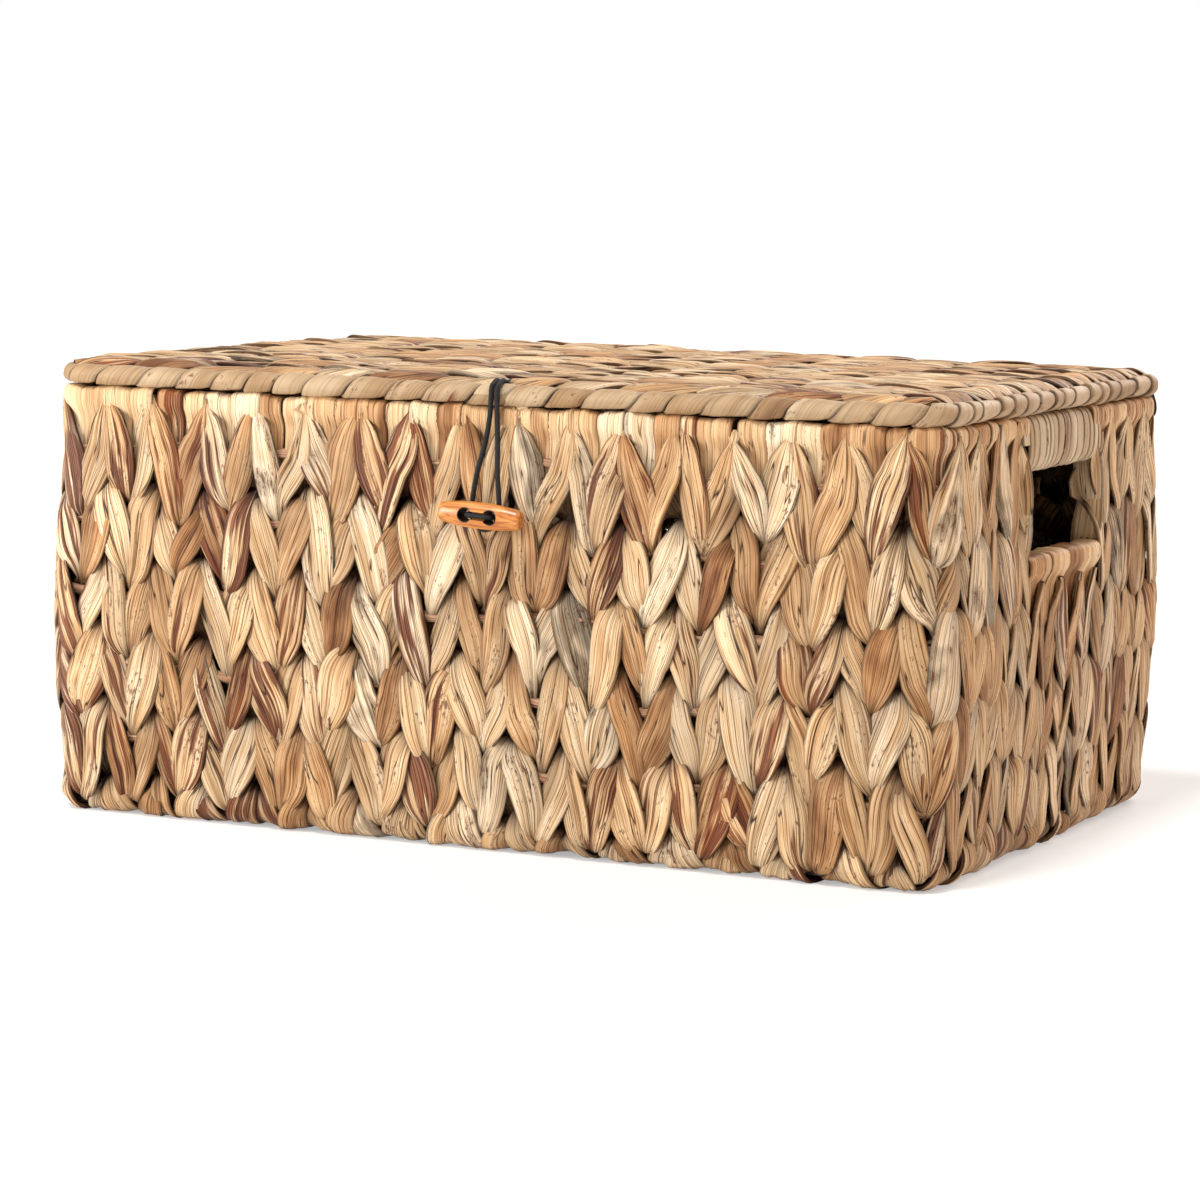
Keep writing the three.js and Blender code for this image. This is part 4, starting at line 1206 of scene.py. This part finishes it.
TOGGLE_STATIONS = 41
TOGGLE_SIDES = 48
TOGGLE_ROUNDED_SHARE = 0.045
COUNTERSINK = 0.5 * MM
COUNTERSINK_FLARE = 2 * MM
DRILL_SIDES = 32
GROOVE_SIDES = 24
GROOVE_STRETCH = 1.3
TOGGLE_PLACE = Matrix.Translation(toggle_middle) @ Matrix.Rotation(TOGGLE_TILT, 4, "Y")


def revolved(name, profile, sides):
    """A closed solid of revolution about X from (x, radius) stations."""
    around = np.linspace(0, 2 * math.pi, sides, endpoint=False)
    xs, radii = np.array(profile).T[:, :, None]
    rings = np.stack(np.broadcast_arrays(xs, radii * np.cos(around), radii * np.sin(around)), axis=-1)
    faces = []
    for k in range(len(xs) - 1):
        for j in range(sides):
            a, b = k * sides + j, k * sides + (j + 1) % sides
            faces.append((a, b, b + sides, a + sides))
    faces.append(tuple(range(sides))[::-1])
    faces.append(tuple(range((len(xs) - 1) * sides, len(xs) * sides)))
    mesh = bpy.data.meshes.new(name)
    mesh.from_pydata(rings.reshape(-1, 3).tolist(), [], faces)
    return mesh


def toggle_cutters():
    """What is taken from the barrel: two holes, countersunk in front, and the cord's groove between them."""
    front = -TOGGLE_THICKNESS / 2
    bore = TOGGLE_HOLE / 2
    hole = [
        (-TOGGLE_THICKNESS, bore + COUNTERSINK + COUNTERSINK_FLARE), (front + COUNTERSINK, bore),
        (TOGGLE_THICKNESS, bore),
    ]
    cutters = []
    for side in (-1, 1):
        drill = added("drill", revolved("drill", hole, DRILL_SIDES))
        drill.rotation_euler = (0, 0, math.pi / 2)
        drill.location = (side * TOGGLE_HOLE_SPACING / 2, 0, 0)
        cutters.append(drill)
    ends = [(side * TOGGLE_HOLE_SPACING / 2, TOGGLE_GROOVE / 2) for side in (-1, 1)]
    groove = added("groove", revolved("groove", ends, GROOVE_SIDES))
    groove.location = (0, front + TOGGLE_GROOVE_DEPTH - TOGGLE_GROOVE / 2, 0)
    groove.scale = (1, GROOVE_STRETCH, 1)
    return cutters + [groove]


def toggle_body():
    """The turned barrel, a little flattened, with its holes and its groove cut."""
    share = np.linspace(-1, 1, TOGGLE_STATIONS)
    radius = TOGGLE_END / 2 + (TOGGLE_HEIGHT - TOGGLE_END) / 2 * (1 - np.abs(share) ** 2.2)
    rounded = np.clip((np.abs(share) - 1 + TOGGLE_ROUNDED_SHARE) / TOGGLE_ROUNDED_SHARE, 0, 1)
    profile = list(zip(share * TOGGLE_LENGTH / 2, radius * (1 - rounded ** 2 * 0.14)))
    barrel = revolved("toggle", profile, TOGGLE_SIDES)
    piece = link("toggle_barrel", barrel, toggle_material, None, "toggle_wood")
    flat = (1, TOGGLE_THICKNESS / TOGGLE_HEIGHT, 1)
    piece.scale = flat
    cutters = toggle_cutters()
    for tool in cutters:
        cut = piece.modifiers.new("cut", "BOOLEAN")
        cut.operation = "DIFFERENCE"
        cut.solver = "EXACT"
        cut.object = tool
    bpy.context.view_layer.update()
    shape = bpy.data.meshes.new_from_object(piece.evaluated_get(bpy.context.evaluated_depsgraph_get()))
    piece.modifiers.clear()
    for tool in cutters:
        bpy.data.objects.remove(tool)
    piece.data = shape
    shape.shade_smooth()
    shape.set_sharp_from_angle(angle=math.radians(35))
    piece.matrix_world = TOGGLE_PLACE @ Matrix.Diagonal((*flat, 1))
    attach(piece, "toggle_button")
    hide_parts("toggle")


# The sewing cord; its places, in mm, are behind the toggle and where it enters the groove
SHANK_HALF_GAP = 1.1 * MM
KNOT_DEPTH = 3 * MM
GROOVE_CORD_RISE = 1.1 * MM
TOGGLE_KNOT = 6 * MM
BEHIND_TOGGLE = [(1.1, 5), (1.4, 3)]
INTO_GROOVE = [(-0.3, 1.2, 0), (-2, 0, 0), (-3.4, 0, 0.1)]


def toggle_cord():
    """The cord that sews the toggle on: knot inside the wall, shank, one hole, the groove, the other hole."""
    cord_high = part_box("toggle_cord")[1]
    inside = cord_high.y - toggle_middle.y - KNOT_DEPTH
    apart = TOGGLE_HOLE_SPACING / 2
    back = TOGGLE_THICKNESS / 2
    bar = -back + TOGGLE_GROOVE_DEPTH - GROOVE_CORD_RISE
    half = [(SHANK_HALF_GAP, inside, 0)]
    half += [(x * MM, back + y * MM, 0) for x, y in BEHIND_TOGGLE]
    half += [(apart, back, 0), (apart, 0, 0)]
    half += [(apart + x * MM, bar + y * MM, z * MM) for x, y, z in INTO_GROOVE]
    points = half + [(-x, y, z) for x, y, z in reversed(half)]
    line = np.array([TOGGLE_PLACE @ Vector(point) for point in smooth_path(points)])
    cord("toggle_sewing_cord", line, CORD, "toggle_button", "toggle_cord")
    knot("toggle_cord_knot", TOGGLE_PLACE @ Vector((0, inside, 0)), TOGGLE_KNOT, "toggle_button")


toggle_body()
toggle_cord()


# Cord hinge ties

# One turn of a tie in the plane that stands square to the wall: mm outwards, and mm up from the ground
BACK_TIE_TURN = [
    (13.0, 181.4), (16.6, 180.2), (18.0, 176.2), (17.6, 170), (17.7, 163), (16.4, 158),
    (12, 156.9), (6, 157.2), (2.6, 160), (1.8, 166), (2.6, 172), (6.4, 178.6),
]
CORNER_TIE_TURN = [
    (11.3, 178.9), (14.0, 177.6), (14.7, 174.2), (15.7, 171), (17.1, 167), (16.8, 163.4),
    (14, 162), (8, 162), (3.6, 163), (3.0, 168), (4.8, 172.6), (8.4, 176.4),
]
CORNER_TIE_ANGLE = 50
TIE_SPREAD_SHARE = 0.52


def hinge_tie(node_name, turn, angle):
    """Two turns of cord round the wire in the body's rim and the one in the lid border."""
    middle = middle_of(node_name)
    out = np.array([math.cos(math.radians(angle)), math.sin(math.radians(angle)), 0])
    beside = np.array([-out[1], out[0], 0])
    corner_x = math.copysign(BODY_WIDTH / 2 - BODY_CORNER, middle.x)
    root = np.array([middle.x if angle == 90 else corner_x, BODY_DEPTH / 2 - BODY_CORNER, 0])
    path = smooth_path(np.array(turn + turn + turn[:1]) * MM)
    side = TIE_CORD * np.linspace(-TIE_SPREAD_SHARE, TIE_SPREAD_SHARE, len(path))
    line = root + path[:, :1] * out + side[:, None] * beside
    line[:, 2] = path[:, 1]
    piece = cord(f"{node_name}_cord", line, TIE_CORD * TIGHT_SHARE, None, node_name)
    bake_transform(piece)


for end in ("left", "right"):
    hinge_tie(f"back_{end}_tie", BACK_TIE_TURN, 90)
for end, corner_angle in (("left", 180 - CORNER_TIE_ANGLE), ("right", CORNER_TIE_ANGLE)):
    hinge_tie(f"corner_{end}_tie", CORNER_TIE_TURN, corner_angle)


# Wires, whose solids show as they are

WIRE_NODES = [
    "base_frame", "rim_wire", "front_left_post", "front_right_post", "back_left_post", "back_right_post",
    "left_handle_wire", "right_handle_wire", "lid_frame",
]
for name in WIRE_NODES:
    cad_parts[name].data.materials.clear()
    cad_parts[name].data.materials.append(wire_material)


# Floor, light and background

FLOOR_SIDE = 40.0
PAPER_GLOW = 0.42
PAPER_TOOTH_GAP = 2.5 * MM
PAPER_TOOTH_DEPTH = 0.1 * MM
WORLD_STRENGTH = 0.44
LEFT_SOFTBOX_PLACE = Vector((-0.85, -0.9, 0.3))
LEFT_SOFTBOX_SIDE = 0.4


def seen_directly(tree):
    """1 for what the camera or a reflection sees, and 0 for what only lights the box."""
    path = node(tree, "LightPath")
    return maths(tree, "MAXIMUM", path.outputs["Is Camera Ray"], path.outputs["Is Glossy Ray"])


def studio_floor():
    """White seamless paper, lit from below as on a light table, so that the box's shadow stays faint."""
    material = bpy.data.materials.new("white_seamless_paper")
    tree = empty_tree(material)
    place = node(tree, "TexCoord")
    tooth = node(tree, "TexNoise", {"Vector": place.outputs["Object"], "Scale": 1 / PAPER_TOOTH_GAP})
    paper = node(tree, "BsdfDiffuse", {"Color": linear("#F4F4F4")})
    bump(tree, paper, tooth.outputs[0], 0.02, PAPER_TOOTH_DEPTH)
    glow = node(tree, "Emission", {"Color": linear("#FFFFFF"), "Strength": 1.0})
    share = maths(tree, "MULTIPLY", seen_directly(tree), PAPER_GLOW)
    both = node(tree, "MixShader", {0: share, 1: paper.outputs[0], 2: glow.outputs[0]})
    output = node(tree, "OutputMaterial")
    tree.links.new(both.outputs[0], output.inputs["Surface"])
    mesh = bpy.data.meshes.new("floor")
    half = FLOOR_SIDE / 2
    corners = [(-half, -half, 0), (half, -half, 0), (half, half, 0), (-half, half, 0)]
    mesh.from_pydata(corners, [], [(0, 1, 2, 3)])
    mesh.materials.append(material)
    added("floor", mesh)


def studio_world():
    """White to the camera, and a dimmer and warmer light on the box."""
    world = bpy.data.worlds.new("studio")
    bpy.context.scene.world = world
    tree = empty_tree(world)
    seen = seen_directly(tree)
    tint = mixed(tree, seen, linear("#FFECD8"), linear("#FFFFFF"))
    strength = ramp(tree, seen, 0, 1, WORLD_STRENGTH, 1)
    sky = node(tree, "Background", {"Color": tint, "Strength": strength})
    output = node(tree, "OutputWorld")
    tree.links.new(sky.outputs[0], output.inputs["Surface"])


def lamp(name, kind, power, towards):
    """A lamp that shines against the direction given."""
    data = bpy.data.lights.new(name, kind)
    data.energy = power
    made = added(name, data)
    made.rotation_euler = towards.to_track_quat("Z", "Y").to_euler()
    return made


def distant_softbox(name, towards, colour, softness, power):
    """Soft light from far away, so that it is even over box and floor."""
    made = lamp(name, "SUN", power, Vector(towards))
    made.data.color = linear(colour)[:3]
    made.data.angle = math.radians(softness)


def left_softbox(power):
    """A softbox close to the left end of the box, so that the front gets darker towards its right end."""
    target = Vector((-BODY_WIDTH / 2, -BODY_DEPTH / 2, BODY_HEIGHT / 2))
    made = lamp("left_softbox", "AREA", power, LEFT_SOFTBOX_PLACE - target)
    made.data.size = LEFT_SOFTBOX_SIDE
    made.location = LEFT_SOFTBOX_PLACE


studio_floor()
studio_world()
distant_softbox("key_light", (-0.2, -0.8, 1.7), "#FFFFFF", 12, 2.15)
left_softbox(11)
distant_softbox("side_fill", (1.0, 0.1, 0.35), "#FFB87C", 70, 0.5)
distant_softbox("back_light", (0.2, 1.0, 0.8), "#FFFFFF", 40, 1.95)
bpy.context.scene.view_settings.view_transform = "Standard"
